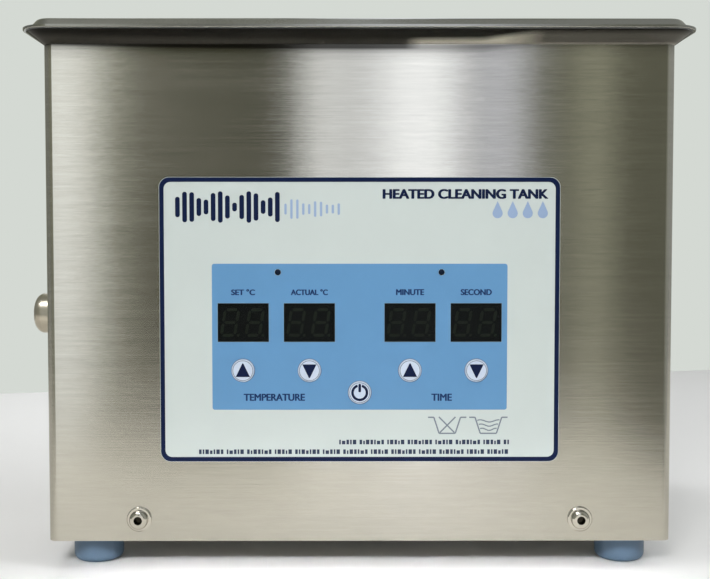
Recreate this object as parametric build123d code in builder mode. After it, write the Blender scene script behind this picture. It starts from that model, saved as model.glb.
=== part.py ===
"""Bench-top heated ultrasonic cleaner: a stainless tank in a stainless casing, on four feet.

Units are millimetres. The origin is on the floor under the middle of the casing,
+X to the right of someone facing the control panel, +Y towards the back, +Z up.
"""

import math
import os

from build123d import *

os.makedirs("parts", exist_ok=True)


def save(builder, name):
    """Labels a finished piece and writes it to its own file."""
    builder.part.label = name
    export_step(builder.part, f"parts/{name}.step")


# ---------------------------------------------------------------- driving dimensions
SHEET = 1.2  # stainless sheet of the casing, tank and base tray
FIT = 0.05  # radial play of every screw, pin and turning part in its hole
CASING_W, CASING_D, CASING_H = 310.0, 208.0, 245.0
BEND_R = 4.5  # outside radius of the casing's upright bends
FOOT_H = 14.0  # from the floor to the casing's lower edge
FLARE_OUT, FLARE_UP = 8.6, 5.9  # outward lip along the casing's top edge
RIM_OVERHANG = 10.0
HEM_LOW, HEM_TOP, FLANGE_RISE, DECK_RISE = 6.3, 7.6, 8.4, 12.0  # above the casing's upright wall
FLANGE_OUT, DECK_OUT = 6.3, 3.2  # how far the shoulder's foot and top stand past the casing

TANK_L, TANK_W, TANK_DEPTH = 290.0, 190.0, 158.0  # opening and depth, inside the sheet
TANK_CORNER_R, TANK_FLOOR_R, DRAFT = 30.0, 8.0, 3.0

TRAY_LIFT, TRAY_H = 2.0, 22.0  # base tray above the casing's lower edge, and its height
FOOT_R, FOOT_INSET = 12.5, 20.5
CASING_SCREW_X, CASING_SCREW_UP = 109.5, 11.0

PANEL_W, PANEL_H, PANEL_T, PANEL_UP = 197.0, 140.5, 0.6, 110.1
WINDOW_W, WINDOW_H, WINDOW_UP = 25.2, 19.1, 108.9
WINDOW_X = (-57.4, -24.8, 24.8, 57.4)
ARROW_X, ARROW_UP = (-57.6, -24.8, 24.8, 57.6), 85.2
POWER_UP = 74.3
BUTTON_R, BUTTON_PROUD = 5.5, 1.0
LED_R, LED_X, LED_UP = 1.5, 40.3, 133.7

BOARD_GAP = 6.8  # from the inside of the front wall to the control board
BOARD_W, BOARD_H, BOARD_T = 142.0, 78.0, 1.6
BOARD_UP = 100.0

TRANSDUCER_X, TRANSDUCER_Y = 70.0, 42.0
HORN_H, HORN_TOP_R, HORN_LOW_R = 28.0, 22.5, 17.5
PIEZO_T, ELECTRODE_T, BACK_MASS_H = 5.0, 0.4, 14.0

DRAIN_UP, NIPPLE_R, NIPPLE_BORE_R = 107.0, 7.0, 4.5
KNOB_END = -190.5  # outer face of the drain knob
KNOB_R, KNOB_L = 11.75, 10.3

FAN_X, FAN_UP, FAN_SIZE, FAN_DEPTH = 95.0, 57.0, 60.0, 20.0
FAN_HOLE_PITCH = 50.0
INLET_X, INLET_UP = -105.0, 45.0

# ---------------------------------------------------------------- levels and faces
LOW = FOOT_H  # casing's lower edge
WALL_TOP = LOW + CASING_H
DECK = WALL_TOP + DECK_RISE
FLOOR_IN = DECK - TANK_DEPTH  # tank floor, wet side
FLOOR_OUT = FLOOR_IN - SHEET
TRAY_Z = LOW + TRAY_LIFT  # underside of the base tray
TRAY_TOP = TRAY_Z + SHEET
FRONT, BACK = -CASING_D / 2, CASING_D / 2
LEFT = -CASING_W / 2
FRONT_IN, BACK_IN, LEFT_IN = FRONT + SHEET, BACK - SHEET, LEFT + SHEET
RIM_W, RIM_D = CASING_W + 2 * RIM_OVERHANG, CASING_D + 2 * RIM_OVERHANG
RIM_R = BEND_R + RIM_OVERHANG
PANEL_FACE = FRONT - PANEL_T
BOARD_FRONT = FRONT_IN + BOARD_GAP
BOARD_BACK = BOARD_FRONT + BOARD_T
DRAIN_Z = LOW + DRAIN_UP
FAN_Z = LOW + FAN_UP
INLET_Z = LOW + INLET_UP
SCREW_Z = LOW + CASING_SCREW_UP

ON_BASE = (Align.CENTER, Align.CENTER, Align.MIN)
M5_HOLE_R, M4_HOLE_R, M3_HOLE_R = 2.75, 2.2, 1.7


def facing_front(y):
    """A plane at depth y, seen from the front: local x is +X, local y is +Z."""
    return Plane.XZ.offset(-y)


def tank_wall_y(z):
    """Outside of the tank's long walls: distance from the middle at height z."""
    return TANK_W / 2 + SHEET - (DECK - SHEET / 2 - z) * math.tan(math.radians(DRAFT))


def corners(x, y, half_x, half_y):
    """Four points around a centre."""
    return [(x + i * half_x, y + j * half_y) for i in (-1, 1) for j in (-1, 1)]


window_spots = [(x, LOW + WINDOW_UP) for x in WINDOW_X]
arrow_spots = [(x, LOW + ARROW_UP) for x in ARROW_X]
power_spot = (0, LOW + POWER_UP)
button_spots = [*arrow_spots, power_spot]
led_spots = [(-LED_X, LOW + LED_UP), (LED_X, LOW + LED_UP)]
board_hole_spots = corners(0, LOW + BOARD_UP, BOARD_W / 2 - 4, BOARD_H / 2 - 4)
foot_spots = {
    "front_left": (-CASING_W / 2 + FOOT_INSET, FRONT + FOOT_INSET),
    "front_right": (CASING_W / 2 - FOOT_INSET, FRONT + FOOT_INSET),
    "rear_left": (-CASING_W / 2 + FOOT_INSET, BACK - FOOT_INSET),
    "rear_right": (CASING_W / 2 - FOOT_INSET, BACK - FOOT_INSET),
}
casing_screw_spots = [(-CASING_SCREW_X, SCREW_Z), (CASING_SCREW_X, SCREW_Z)]
fan_hole_spots = corners(FAN_X, FAN_Z, FAN_HOLE_PITCH / 2, FAN_HOLE_PITCH / 2)
transducer_spots = corners(0, 0, TRANSDUCER_X, TRANSDUCER_Y)

# ---------------------------------------------------------------- casing
WINDOW_CUT_GAP = 0.2
BUTTON_HOLE_R = BUTTON_R + 0.3
LED_HOLE_R = LED_R + 0.15
DRAIN_HOLE_R = 9.0
FAN_OPENING_R = 27.0
INLET_BODY_W, INLET_BODY_H = 30.0, 33.0
INLET_SCREW_PITCH = 40.0
inlet_screw_spots = [(INLET_X + i * INLET_SCREW_PITCH / 2, INLET_Z) for i in (-1, 1)]

with BuildPart() as casing:
    with BuildSketch(Plane.XY.offset(LOW)):
        RectangleRounded(CASING_W, CASING_D, BEND_R)
    extrude(amount=CASING_H)
    for lift, out in ((0, 0), (FLARE_UP, FLARE_OUT)):
        with BuildSketch(Plane.XY.offset(WALL_TOP + lift)):
            RectangleRounded(CASING_W + 2 * out, CASING_D + 2 * out, BEND_R + out)
    loft(ruled=True)
    with BuildSketch(Plane.XY.offset(LOW)):
        RectangleRounded(CASING_W - 2 * SHEET, CASING_D - 2 * SHEET, BEND_R - SHEET)
    extrude(amount=CASING_H + FLARE_UP, mode=Mode.SUBTRACT)
    for lift, out in ((SHEET / 2, -SHEET), (FLARE_UP, FLARE_OUT - 2.0)):
        with BuildSketch(Plane.XY.offset(WALL_TOP + lift)):
            RectangleRounded(CASING_W + 2 * out, CASING_D + 2 * out, BEND_R + out)
    loft(ruled=True, mode=Mode.SUBTRACT)
    # control openings in the front wall
    with BuildSketch(facing_front(FRONT)):
        with Locations(*window_spots):
            Rectangle(WINDOW_W + 2 * WINDOW_CUT_GAP, WINDOW_H + 2 * WINDOW_CUT_GAP)
        with Locations(*button_spots):
            Circle(BUTTON_HOLE_R)
        with Locations(*led_spots):
            Circle(LED_HOLE_R)
        with Locations(*casing_screw_spots):
            Circle(M5_HOLE_R)
    extrude(amount=-2 * SHEET, mode=Mode.SUBTRACT)
    # back wall: screws, fan and power inlet
    with BuildSketch(facing_front(BACK)):
        with Locations(*casing_screw_spots):
            Circle(M5_HOLE_R)
        with Locations((FAN_X, FAN_Z)):
            Circle(FAN_OPENING_R)
        with Locations(*fan_hole_spots):
            Circle(M4_HOLE_R)
        with Locations((INLET_X, INLET_Z)):
            Rectangle(INLET_BODY_W + 0.4, INLET_BODY_H + 0.4)
        with Locations(*inlet_screw_spots):
            Circle(M3_HOLE_R)
    extrude(amount=2 * SHEET, mode=Mode.SUBTRACT)
    # drain opening in the left wall
    with BuildSketch(Plane.YZ.offset(LEFT)):
        with Locations((0, DRAIN_Z)):
            Circle(DRAIN_HOLE_R)
    extrude(amount=2 * SHEET, mode=Mode.SUBTRACT)
save(casing, "casing")

# ---------------------------------------------------------------- tank with its rolled rim
MOUTH_R = 3.0  # rounding of the tank's opening
DECK_EDGE_R = 2.4
HEM_R = 0.5
SEAT = HEM_LOW + 0.1  # flat underside of the rim, which rests on the seal
SEAT_IN = FLANGE_OUT + 0.3

with BuildPart() as tank_cavity:
    with BuildSketch(Plane.XY.offset(DECK)):
        RectangleRounded(TANK_L, TANK_W, TANK_CORNER_R)
    extrude(amount=-TANK_DEPTH, taper=DRAFT)
    fillet(tank_cavity.faces().sort_by(Axis.Z)[0].edges(), TANK_FLOOR_R)


def under_mouth(edge):
    """True for the edges where the basin's outside meets the underside of the deck."""
    box = edge.bounding_box()
    level = abs(box.max.Z - (DECK - SHEET)) < 0.01 and box.size.Z < 0.01
    return level and box.max.X < TANK_L / 2 + 2 * SHEET and box.min.X > -TANK_L / 2 - 2 * SHEET


with BuildPart() as tank:
    # outside of the rim: a thin lip, a nearly flat flange, then a steep shoulder up to the deck
    with BuildSketch(Plane.XY.offset(WALL_TOP + HEM_LOW)):
        RectangleRounded(RIM_W, RIM_D, RIM_R)
    extrude(amount=HEM_TOP - HEM_LOW)
    for lift, out in ((HEM_TOP, RIM_OVERHANG), (FLANGE_RISE, FLANGE_OUT), (DECK_RISE, DECK_OUT)):
        with BuildSketch(Plane.XY.offset(WALL_TOP + lift)):
            RectangleRounded(CASING_W + 2 * out, CASING_D + 2 * out, BEND_R + out)
    loft(ruled=True)
    fillet(tank.edges().group_by(Axis.Z)[-1], DECK_EDGE_R)
    fillet(tank.faces().sort_by(Axis.Z)[0].edges(), HEM_R)
    # about one sheet further in, the rim is open from below
    with BuildSketch(Plane.XY.offset(WALL_TOP + HEM_LOW)):
        RectangleRounded(RIM_W - 2 * SHEET, RIM_D - 2 * SHEET, RIM_R - SHEET)
    extrude(amount=SEAT - HEM_LOW, mode=Mode.SUBTRACT)
    for lift, out in ((SEAT, SEAT_IN), (DECK_RISE - SHEET, DECK_OUT - SHEET)):
        with BuildSketch(Plane.XY.offset(WALL_TOP + lift)):
            RectangleRounded(CASING_W + 2 * out, CASING_D + 2 * out, BEND_R + out)
    loft(ruled=True, mode=Mode.SUBTRACT)
    # basin
    with BuildSketch(Plane.XY.offset(DECK - SHEET / 2)):
        RectangleRounded(TANK_L + 2 * SHEET, TANK_W + 2 * SHEET, TANK_CORNER_R + SHEET)
    extrude(amount=-TANK_DEPTH - SHEET / 2, taper=DRAFT)
    fillet(tank.faces().sort_by(Axis.Z)[0].edges(), TANK_FLOOR_R + SHEET)
    fillet(tank.edges().filter_by(under_mouth), MOUTH_R - SHEET)
    add(tank_cavity.part, mode=Mode.SUBTRACT)
    fillet(tank.faces().filter_by(Axis.Z).sort_by(Axis.Z)[-1].inner_wires()[0].edges(), MOUTH_R)
    # drain hole, just above the floor in the left end wall
    with BuildSketch(Plane.YZ.offset(LEFT)):
        with Locations((0, DRAIN_Z)):
            Circle(NIPPLE_R)
    extrude(amount=30, mode=Mode.SUBTRACT)
save(tank, "tank")

# seal between the casing's lip and the tank's rim
SEAL_OUT, SEAL_W = FLARE_OUT - 0.1, 1.8

with BuildPart() as rim_seal:
    with BuildSketch(Plane.XY.offset(WALL_TOP + FLARE_UP)):
        RectangleRounded(CASING_W + 2 * SEAL_OUT, CASING_D + 2 * SEAL_OUT, BEND_R + SEAL_OUT)
        inner = SEAL_OUT - SEAL_W
        RectangleRounded(CASING_W + 2 * inner, CASING_D + 2 * inner, BEND_R + inner, mode=Mode.SUBTRACT)
    extrude(amount=SEAT - FLARE_UP)
save(rim_seal, "rim_seal")

# ---------------------------------------------------------------- base tray and feet
TRAY_W, TRAY_D = CASING_W - 2 * SHEET - 0.4, CASING_D - 2 * SHEET - 0.4
TRAY_R = BEND_R - SHEET - 0.2
VENT_L, VENT_T, VENT_PITCH = 44.0, 4.0, 9.0
GENERATOR_X, GENERATOR_Y = -15.0, -15.0
GENERATOR_W, GENERATOR_D = 150.0, 110.0
GENERATOR_POST_H = 8.0
generator_hole_spots = corners(
    GENERATOR_X, GENERATOR_Y, GENERATOR_W / 2 - 5, GENERATOR_D / 2 - 5
)

with BuildPart() as base_tray:
    with BuildSketch(Plane.XY.offset(TRAY_Z)):
        RectangleRounded(TRAY_W, TRAY_D, TRAY_R)
    extrude(amount=TRAY_H)
    with BuildSketch(Plane.XY.offset(TRAY_TOP)):
        RectangleRounded(TRAY_W - 2 * SHEET, TRAY_D - 2 * SHEET, TRAY_R - SHEET)
    extrude(amount=TRAY_H, mode=Mode.SUBTRACT)
    with BuildSketch(Plane.XY.offset(TRAY_Z)):
        with Locations(*foot_spots.values()):
            Circle(M4_HOLE_R)
        with Locations(*generator_hole_spots):
            Circle(M3_HOLE_R)
        with Locations((105, 10), (-105 - 15, -10)):
            with GridLocations(VENT_PITCH, 0, 4, 1):
                SlotOverall(VENT_L, VENT_T, rotation=90)
    extrude(amount=SHEET, mode=Mode.SUBTRACT)
    with BuildSketch(facing_front(FRONT)):
        with Locations(*casing_screw_spots):
            Circle(M5_HOLE_R)
    extrude(amount=-CASING_D, mode=Mode.SUBTRACT)
save(base_tray, "base_tray")

FOOT_RECESS_R, FOOT_RECESS_H = 5.5, 8.0
FOOT_EDGE_R = 3.5

for corner, spot in foot_spots.items():
    with BuildPart() as foot:
        with BuildSketch():
            with Locations(spot):
                Circle(FOOT_R)
        extrude(amount=TRAY_Z)
        fillet(foot.faces().sort_by(Axis.Z)[0].edges(), FOOT_EDGE_R)
        with Locations((*spot, 0)):
            Cylinder(FOOT_RECESS_R, FOOT_RECESS_H, align=ON_BASE, mode=Mode.SUBTRACT)
            Cylinder(M4_HOLE_R, TRAY_Z, align=ON_BASE, mode=Mode.SUBTRACT)
    save(foot, f"foot_{corner}")

# screws that hold the feet, with their nuts on top of the tray
M4_R, M4_HEAD_R, M4_HEAD_H, M4_NUT_R, M4_NUT_H = 2.0, 4.0, 2.6, 4.04, 3.2

with BuildPart() as foot_screws:
    for spot in foot_spots.values():
        with Locations((*spot, FOOT_RECESS_H - M4_HEAD_H)):
            Cylinder(M4_HEAD_R, M4_HEAD_H, align=ON_BASE)
            Cylinder(M4_R, TRAY_TOP + 5 - FOOT_RECESS_H + M4_HEAD_H, align=ON_BASE)
    fillet(foot_screws.edges().group_by(Axis.Z)[0], 1.0)
    with BuildSketch(Plane.XY.offset(FOOT_RECESS_H - M4_HEAD_H)):
        with Locations(*foot_spots.values()):
            Rectangle(4.4, 1.0)
            Rectangle(1.0, 4.4)
    extrude(amount=1.4, mode=Mode.SUBTRACT)
save(foot_screws, "foot_screws")

with BuildPart() as foot_nuts:
    with BuildSketch(Plane.XY.offset(TRAY_TOP)):
        with Locations(*foot_spots.values()):
            RegularPolygon(M4_NUT_R, 6)
            Circle(M4_R + FIT, mode=Mode.SUBTRACT)
    extrude(amount=M4_NUT_H)
save(foot_nuts, "foot_nuts")

# button-head screws through the casing into nuts welded inside the tray's flange
M5_R, M5_HEAD_R, M5_HEAD_H, M5_SOCKET_R = 2.5, 4.6, 2.8, 2.1
M5_NUT_R, M5_NUT_H = 4.62, 4.0
WASHER_R, WASHER_T = 6.1, 1.2
FLANGE_IN = -TRAY_D / 2 + SHEET  # inner face of the tray's front flange

with BuildPart() as casing_screws:
    head_seat = FRONT - WASHER_T
    with BuildSketch(facing_front(head_seat)):
        with Locations(*casing_screw_spots):
            Circle(M5_HEAD_R)
    extrude(amount=M5_HEAD_H)
    fillet(casing_screws.faces().sort_by(Axis.Y)[0:2].edges(), 1.9)
    with BuildSketch(facing_front(head_seat)):
        with Locations(*casing_screw_spots):
            Circle(M5_R)
    extrude(amount=-(FLANGE_IN + M5_NUT_H + 1.5 - head_seat))
    with BuildSketch(facing_front(head_seat - M5_HEAD_H)):
        with Locations(*casing_screw_spots):
            RegularPolygon(M5_SOCKET_R, 6)
    extrude(amount=-2.2, mode=Mode.SUBTRACT)
    mirror(about=Plane.XZ)
save(casing_screws, "casing_screws")

with BuildPart() as casing_screw_washers:
    with BuildSketch(facing_front(FRONT)):
        with Locations(*casing_screw_spots):
            Circle(WASHER_R)
    extrude(amount=WASHER_T)
    chamfer(casing_screw_washers.faces().sort_by(Axis.Y)[0:2].edges(), 0.4)
    with BuildSketch(facing_front(FRONT)):
        with Locations(*casing_screw_spots):
            Circle(M5_R + FIT)
    extrude(amount=WASHER_T, mode=Mode.SUBTRACT)
    mirror(about=Plane.XZ)
save(casing_screw_washers, "casing_screw_washers")

with BuildPart() as tray_weld_nuts:
    with BuildSketch(facing_front(FLANGE_IN)):
        with Locations(*casing_screw_spots):
            RegularPolygon(M5_NUT_R, 6)
            Circle(M5_R + FIT, mode=Mode.SUBTRACT)
    extrude(amount=-M5_NUT_H)
    mirror(about=Plane.XZ)
save(tray_weld_nuts, "tray_weld_nuts")

# ---------------------------------------------------------------- control panel
PANEL_R = 5.0
PANEL_Z = LOW + PANEL_UP

with BuildPart() as panel_overlay:
    with BuildSketch(facing_front(FRONT)):
        with Locations((0, PANEL_Z)):
            RectangleRounded(PANEL_W, PANEL_H, PANEL_R)
        with Locations(*window_spots):
            Rectangle(WINDOW_W, WINDOW_H, mode=Mode.SUBTRACT)
        with Locations(*button_spots):
            Circle(BUTTON_R + FIT, mode=Mode.SUBTRACT)
        with Locations(*led_spots):
            Circle(LED_R + FIT, mode=Mode.SUBTRACT)
    extrude(amount=PANEL_T)
save(panel_overlay, "panel_overlay")

with BuildPart() as display_windows:
    with BuildSketch(facing_front(FRONT)):
        with Locations(*window_spots):
            Rectangle(WINDOW_W, WINDOW_H)
    extrude(amount=PANEL_T)
save(display_windows, "display_windows")

# push buttons: a proud cap, a collar that keeps it behind the wall, and a stem
COLLAR_R, COLLAR_T, COLLAR_GAP = 6.75, 0.8, 0.1
STEM_R = 1.6
SWITCH_W, SWITCH_H, SWITCH_WELL = 6.0, 3.5, 1.1
SWITCH_TOP = BOARD_FRONT - SWITCH_H
BUTTON_FACE = PANEL_FACE - BUTTON_PROUD
button_names = ("temp_up", "temp_down", "time_up", "time_down", "power")

for name, spot in zip(button_names, button_spots):
    with BuildPart() as button:
        collar_face = FRONT_IN + COLLAR_GAP
        with BuildSketch(facing_front(BUTTON_FACE)):
            with Locations(spot):
                Circle(BUTTON_R)
        extrude(amount=-(collar_face - BUTTON_FACE))
        fillet(button.faces().sort_by(Axis.Y)[0].edges(), 0.4)
        with BuildSketch(facing_front(collar_face)):
            with Locations(spot):
                Circle(COLLAR_R)
        extrude(amount=-COLLAR_T)
        with BuildSketch(facing_front(collar_face + COLLAR_T)):
            with Locations(spot):
                Circle(STEM_R)
        extrude(amount=-(SWITCH_TOP + 0.2 - collar_face - COLLAR_T))
    save(button, f"{name}_button")

with BuildPart() as control_board:
    with BuildSketch(facing_front(BOARD_FRONT)):
        with Locations((0, LOW + BOARD_UP)):
            RectangleRounded(BOARD_W, BOARD_H, 2)
        with Locations(*board_hole_spots):
            Circle(M3_HOLE_R, mode=Mode.SUBTRACT)
    extrude(amount=-BOARD_T)
save(control_board, "control_board")

MODULE_W, MODULE_H, MODULE_BACKSET = 25.1, 19.0, 0.1

with BuildPart() as display_modules:
    with BuildSketch(facing_front(FRONT + MODULE_BACKSET)):
        with Locations(*window_spots):
            Rectangle(MODULE_W, MODULE_H)
    extrude(amount=-(BOARD_FRONT - FRONT - MODULE_BACKSET))
save(display_modules, "display_modules")

with BuildPart() as tact_switches:
    with BuildSketch(facing_front(BOARD_FRONT)):
        with Locations(*button_spots):
            RectangleRounded(SWITCH_W, SWITCH_W, 0.5)
    extrude(amount=SWITCH_H)
    with BuildSketch(facing_front(SWITCH_TOP)):
        with Locations(*button_spots):
            Circle(STEM_R + 0.3)
    extrude(amount=-SWITCH_WELL, mode=Mode.SUBTRACT)
save(tact_switches, "tact_switches")

LED_FACE, LED_COLLAR_R, LED_COLLAR_H = PANEL_FACE - 0.5, 1.9, 3.0

with BuildPart() as indicator_leds:
    with BuildSketch(facing_front(BOARD_FRONT)):
        with Locations(*led_spots):
            Circle(LED_R)
    extrude(amount=BOARD_FRONT - LED_FACE)
    fillet(indicator_leds.faces().sort_by(Axis.Y)[0:2].edges(), 1.1)
    with BuildSketch(facing_front(BOARD_FRONT)):
        with Locations(*led_spots):
            Circle(LED_COLLAR_R)
    extrude(amount=LED_COLLAR_H)
save(indicator_leds, "indicator_leds")

M3_R, M3_HEAD_R, M3_HEAD_H = 1.5, 2.75, 1.8

with BuildPart() as control_board_spacers:
    with BuildSketch(facing_front(FRONT_IN)):
        with Locations(*board_hole_spots):
            RegularPolygon(3.2, 6)
            Circle(M3_R + FIT, mode=Mode.SUBTRACT)
    extrude(amount=-BOARD_GAP)
save(control_board_spacers, "control_board_spacers")

with BuildPart() as control_board_screws:
    with BuildSketch(facing_front(BOARD_BACK + M3_HEAD_H)):
        with Locations(*board_hole_spots):
            Circle(M3_HEAD_R)
    extrude(amount=M3_HEAD_H)
    fillet(control_board_screws.faces().sort_by(Axis.Y)[-4:].edges(), 0.8)
    with BuildSketch(facing_front(BOARD_BACK)):
        with Locations(*board_hole_spots):
            Circle(M3_R)
    extrude(amount=BOARD_T + 5)
    with BuildSketch(facing_front(BOARD_BACK + M3_HEAD_H)):
        with Locations(*board_hole_spots):
            Rectangle(3.2, 0.7)
            Rectangle(0.7, 3.2)
    extrude(amount=1.0, mode=Mode.SUBTRACT)
save(control_board_screws, "control_board_screws")

# ---------------------------------------------------------------- transducers under the tank
horn_low = FLOOR_OUT - HORN_H
rings_low = [horn_low - PIEZO_T, horn_low - 2 * PIEZO_T - ELECTRODE_T]
plates_low = [horn_low - PIEZO_T - ELECTRODE_T, horn_low - 2 * PIEZO_T - 2 * ELECTRODE_T]
mass_low = plates_low[1] - BACK_MASS_H
STACK_BOLT_R, STACK_BOLT_IN, STACK_HEAD_R, STACK_HEAD_H = 4.0, 15.0, 7.5, 7.0
PIEZO_BORE_R = 6.5


def at_height(spots, z):
    return [(x, y, z) for x, y in spots]


with BuildPart() as transducer_horns:
    with Locations(*at_height(transducer_spots, horn_low)):
        Cone(HORN_LOW_R, HORN_TOP_R, HORN_H - 6, align=ON_BASE)
    with Locations(*at_height(transducer_spots, horn_low + HORN_H - 6)):
        Cylinder(HORN_TOP_R, 6, align=ON_BASE)
    with Locations(*at_height(transducer_spots, horn_low)):
        Cylinder(STACK_BOLT_R + FIT, STACK_BOLT_IN + 1, align=ON_BASE, mode=Mode.SUBTRACT)
save(transducer_horns, "transducer_horns")

with BuildPart() as piezo_rings:
    for z in rings_low:
        with BuildSketch(Plane.XY.offset(z)):
            with Locations(*transducer_spots):
                Circle(HORN_LOW_R)
                Circle(PIEZO_BORE_R, mode=Mode.SUBTRACT)
        extrude(amount=PIEZO_T)
save(piezo_rings, "piezo_rings")

with BuildPart() as electrode_plates:
    for z, turn in zip(plates_low, (0, 40)):
        with BuildSketch(Plane.XY.offset(z)):
            with Locations(*transducer_spots):
                Circle(HORN_LOW_R)
                with PolarLocations(HORN_LOW_R + 3, 1, start_angle=90 + turn):
                    RectangleRounded(12, 5, 1.5)
                Circle(PIEZO_BORE_R, mode=Mode.SUBTRACT)
        extrude(amount=ELECTRODE_T)
save(electrode_plates, "electrode_plates")

with BuildPart() as transducer_back_masses:
    with BuildSketch(Plane.XY.offset(mass_low)):
        with Locations(*transducer_spots):
            Circle(HORN_LOW_R)
            Circle(STACK_BOLT_R + FIT, mode=Mode.SUBTRACT)
    extrude(amount=BACK_MASS_H)
    chamfer(transducer_back_masses.faces().sort_by(Axis.Z)[0:4].edges().filter_by(
        lambda e: e.radius > HORN_LOW_R - 1
    ), 1.0)
save(transducer_back_masses, "transducer_back_masses")

with BuildPart() as transducer_bolts:
    with BuildSketch(Plane.XY.offset(mass_low - STACK_HEAD_H)):
        with Locations(*transducer_spots):
            RegularPolygon(STACK_HEAD_R, 6)
    extrude(amount=STACK_HEAD_H)
    with BuildSketch(Plane.XY.offset(mass_low)):
        with Locations(*transducer_spots):
            Circle(STACK_BOLT_R)
    extrude(amount=horn_low + STACK_BOLT_IN - mass_low)
save(transducer_bolts, "transducer_bolts")

# ---------------------------------------------------------------- heating and sensing
PAD_W, PAD_H, PAD_T, PAD_Z = 200.0, 60.0, 2.0, 205.0
BOND = 0.05  # thickness of the adhesive film behind a bonded part

with BuildPart() as heater_pads:
    lean = math.radians(DRAFT)
    wall = Plane(
        origin=(0, -tank_wall_y(PAD_Z), PAD_Z),
        x_dir=(1, 0, 0),
        z_dir=(0, -math.cos(lean), -math.sin(lean)),
    )
    with BuildSketch(wall.offset(BOND)):
        RectangleRounded(PAD_W, PAD_H, 4)
    extrude(amount=PAD_T)
    mirror(about=Plane.XZ)
save(heater_pads, "heater_pads")

with BuildPart() as temperature_sensor:
    with Locations((-22, 0, FLOOR_OUT - 9)):
        Cylinder(4.5, 9, align=ON_BASE)
    with BuildSketch(Plane.XY.offset(FLOOR_OUT - 2)):
        with Locations((-22, 0)):
            RectangleRounded(24, 10, 2)
        with Locations((-31, 0), (-13, 0)):
            Circle(1.6, mode=Mode.SUBTRACT)
    extrude(amount=2)
save(temperature_sensor, "temperature_sensor")

with BuildPart() as thermal_cutout:
    with Locations((22, 0, FLOOR_OUT - 6)):
        Cylinder(8, 6, align=ON_BASE)
    with Locations((22, 0, FLOOR_OUT - 11)):
        Cylinder(6.5, 5, align=ON_BASE)
    with BuildSketch(Plane.XY.offset(FLOOR_OUT - 18)):
        with Locations((19, 0), (25, 0)):
            Rectangle(0.8, 5)
    extrude(amount=7)
save(thermal_cutout, "thermal_cutout")

# ---------------------------------------------------------------- drain tap on the left side
NIPPLE_IN, NIPPLE_END = -136.6, LEFT - 8.5
BODY_START, BODY_END, BODY_R, HEX_L = LEFT - 2.5, LEFT - 24.2, 10.5, 5.0
PLUG_R, PLUG_BORE_R, PORT_R = NIPPLE_R - FIT, 4.2, 2.7
PLUG_START, PLUG_END = NIPPLE_END - 0.4, BODY_END + 2.3
PORT_X = LEFT - 15.4
SPOUT_R, SPOUT_LOW = 4.5, DRAIN_Z - 27.0
SHAFT_R, SHAFT_END, FLAT_FROM = 4.0, KNOB_END + 3.5, 3.0
KNOB_START = KNOB_END + KNOB_L
GROOVE_R, GROOVE_W = 5.5, 2.0
groove_x = (PLUG_START - 1.2, PLUG_END + 1.2 + GROOVE_W)


with BuildPart() as drain_nipple:
    with BuildSketch(Plane.YZ.offset(NIPPLE_IN)):
        with Locations((0, DRAIN_Z)):
            Circle(NIPPLE_R)
            Circle(NIPPLE_BORE_R, mode=Mode.SUBTRACT)
    extrude(amount=NIPPLE_END - NIPPLE_IN)
save(drain_nipple, "drain_nipple")

GROMMET_LIP, GROMMET_LIP_R = 1.6, 11.5

with BuildPart() as drain_grommet:
    for x, length, radius in (
        (LEFT - GROMMET_LIP, GROMMET_LIP, GROMMET_LIP_R),
        (LEFT, SHEET, DRAIN_HOLE_R),
        (LEFT_IN, GROMMET_LIP, GROMMET_LIP_R),
    ):
        with BuildSketch(Plane.YZ.offset(x)):
            with Locations((0, DRAIN_Z)):
                Circle(radius)
                Circle(NIPPLE_R, mode=Mode.SUBTRACT)
        extrude(amount=length)
save(drain_grommet, "drain_grommet")

with BuildPart() as drain_valve_body:
    with BuildSketch(Plane.YZ.offset(BODY_START)):
        with Locations((0, DRAIN_Z)):
            RegularPolygon(13.0, 6)
    extrude(amount=-HEX_L)
    with BuildSketch(Plane.YZ.offset(BODY_START - HEX_L)):
        with Locations((0, DRAIN_Z)):
            Circle(BODY_R)
    extrude(amount=BODY_END - BODY_START + HEX_L)
    fillet(drain_valve_body.faces().sort_by(Axis.X)[0].edges(), 1.2)
    # hose spout with three barbs
    with Locations((PORT_X, 0, SPOUT_LOW)):
        Cylinder(SPOUT_R - 0.6, DRAIN_Z - SPOUT_LOW, align=ON_BASE)
        for barb in range(3):
            with Locations((0, 0, 3.5 * barb)):
                Cone(SPOUT_R - 0.6, SPOUT_R, 3.5, align=ON_BASE)
    with Locations((PORT_X, 0, SPOUT_LOW)):
        Cylinder(PORT_R, DRAIN_Z - SPOUT_LOW, align=ON_BASE, mode=Mode.SUBTRACT)
    # bore for the nipple and the plug, then a smaller hole for the shaft
    with BuildSketch(Plane.YZ.offset(BODY_START)):
        with Locations((0, DRAIN_Z)):
            Circle(NIPPLE_R)
    extrude(amount=PLUG_END - 0.1 - BODY_START, mode=Mode.SUBTRACT)
    with BuildSketch(Plane.YZ.offset(PLUG_END)):
        with Locations((0, DRAIN_Z)):
            Circle(SHAFT_R + FIT)
    extrude(amount=-10, mode=Mode.SUBTRACT)
save(drain_valve_body, "drain_valve_body")

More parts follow.
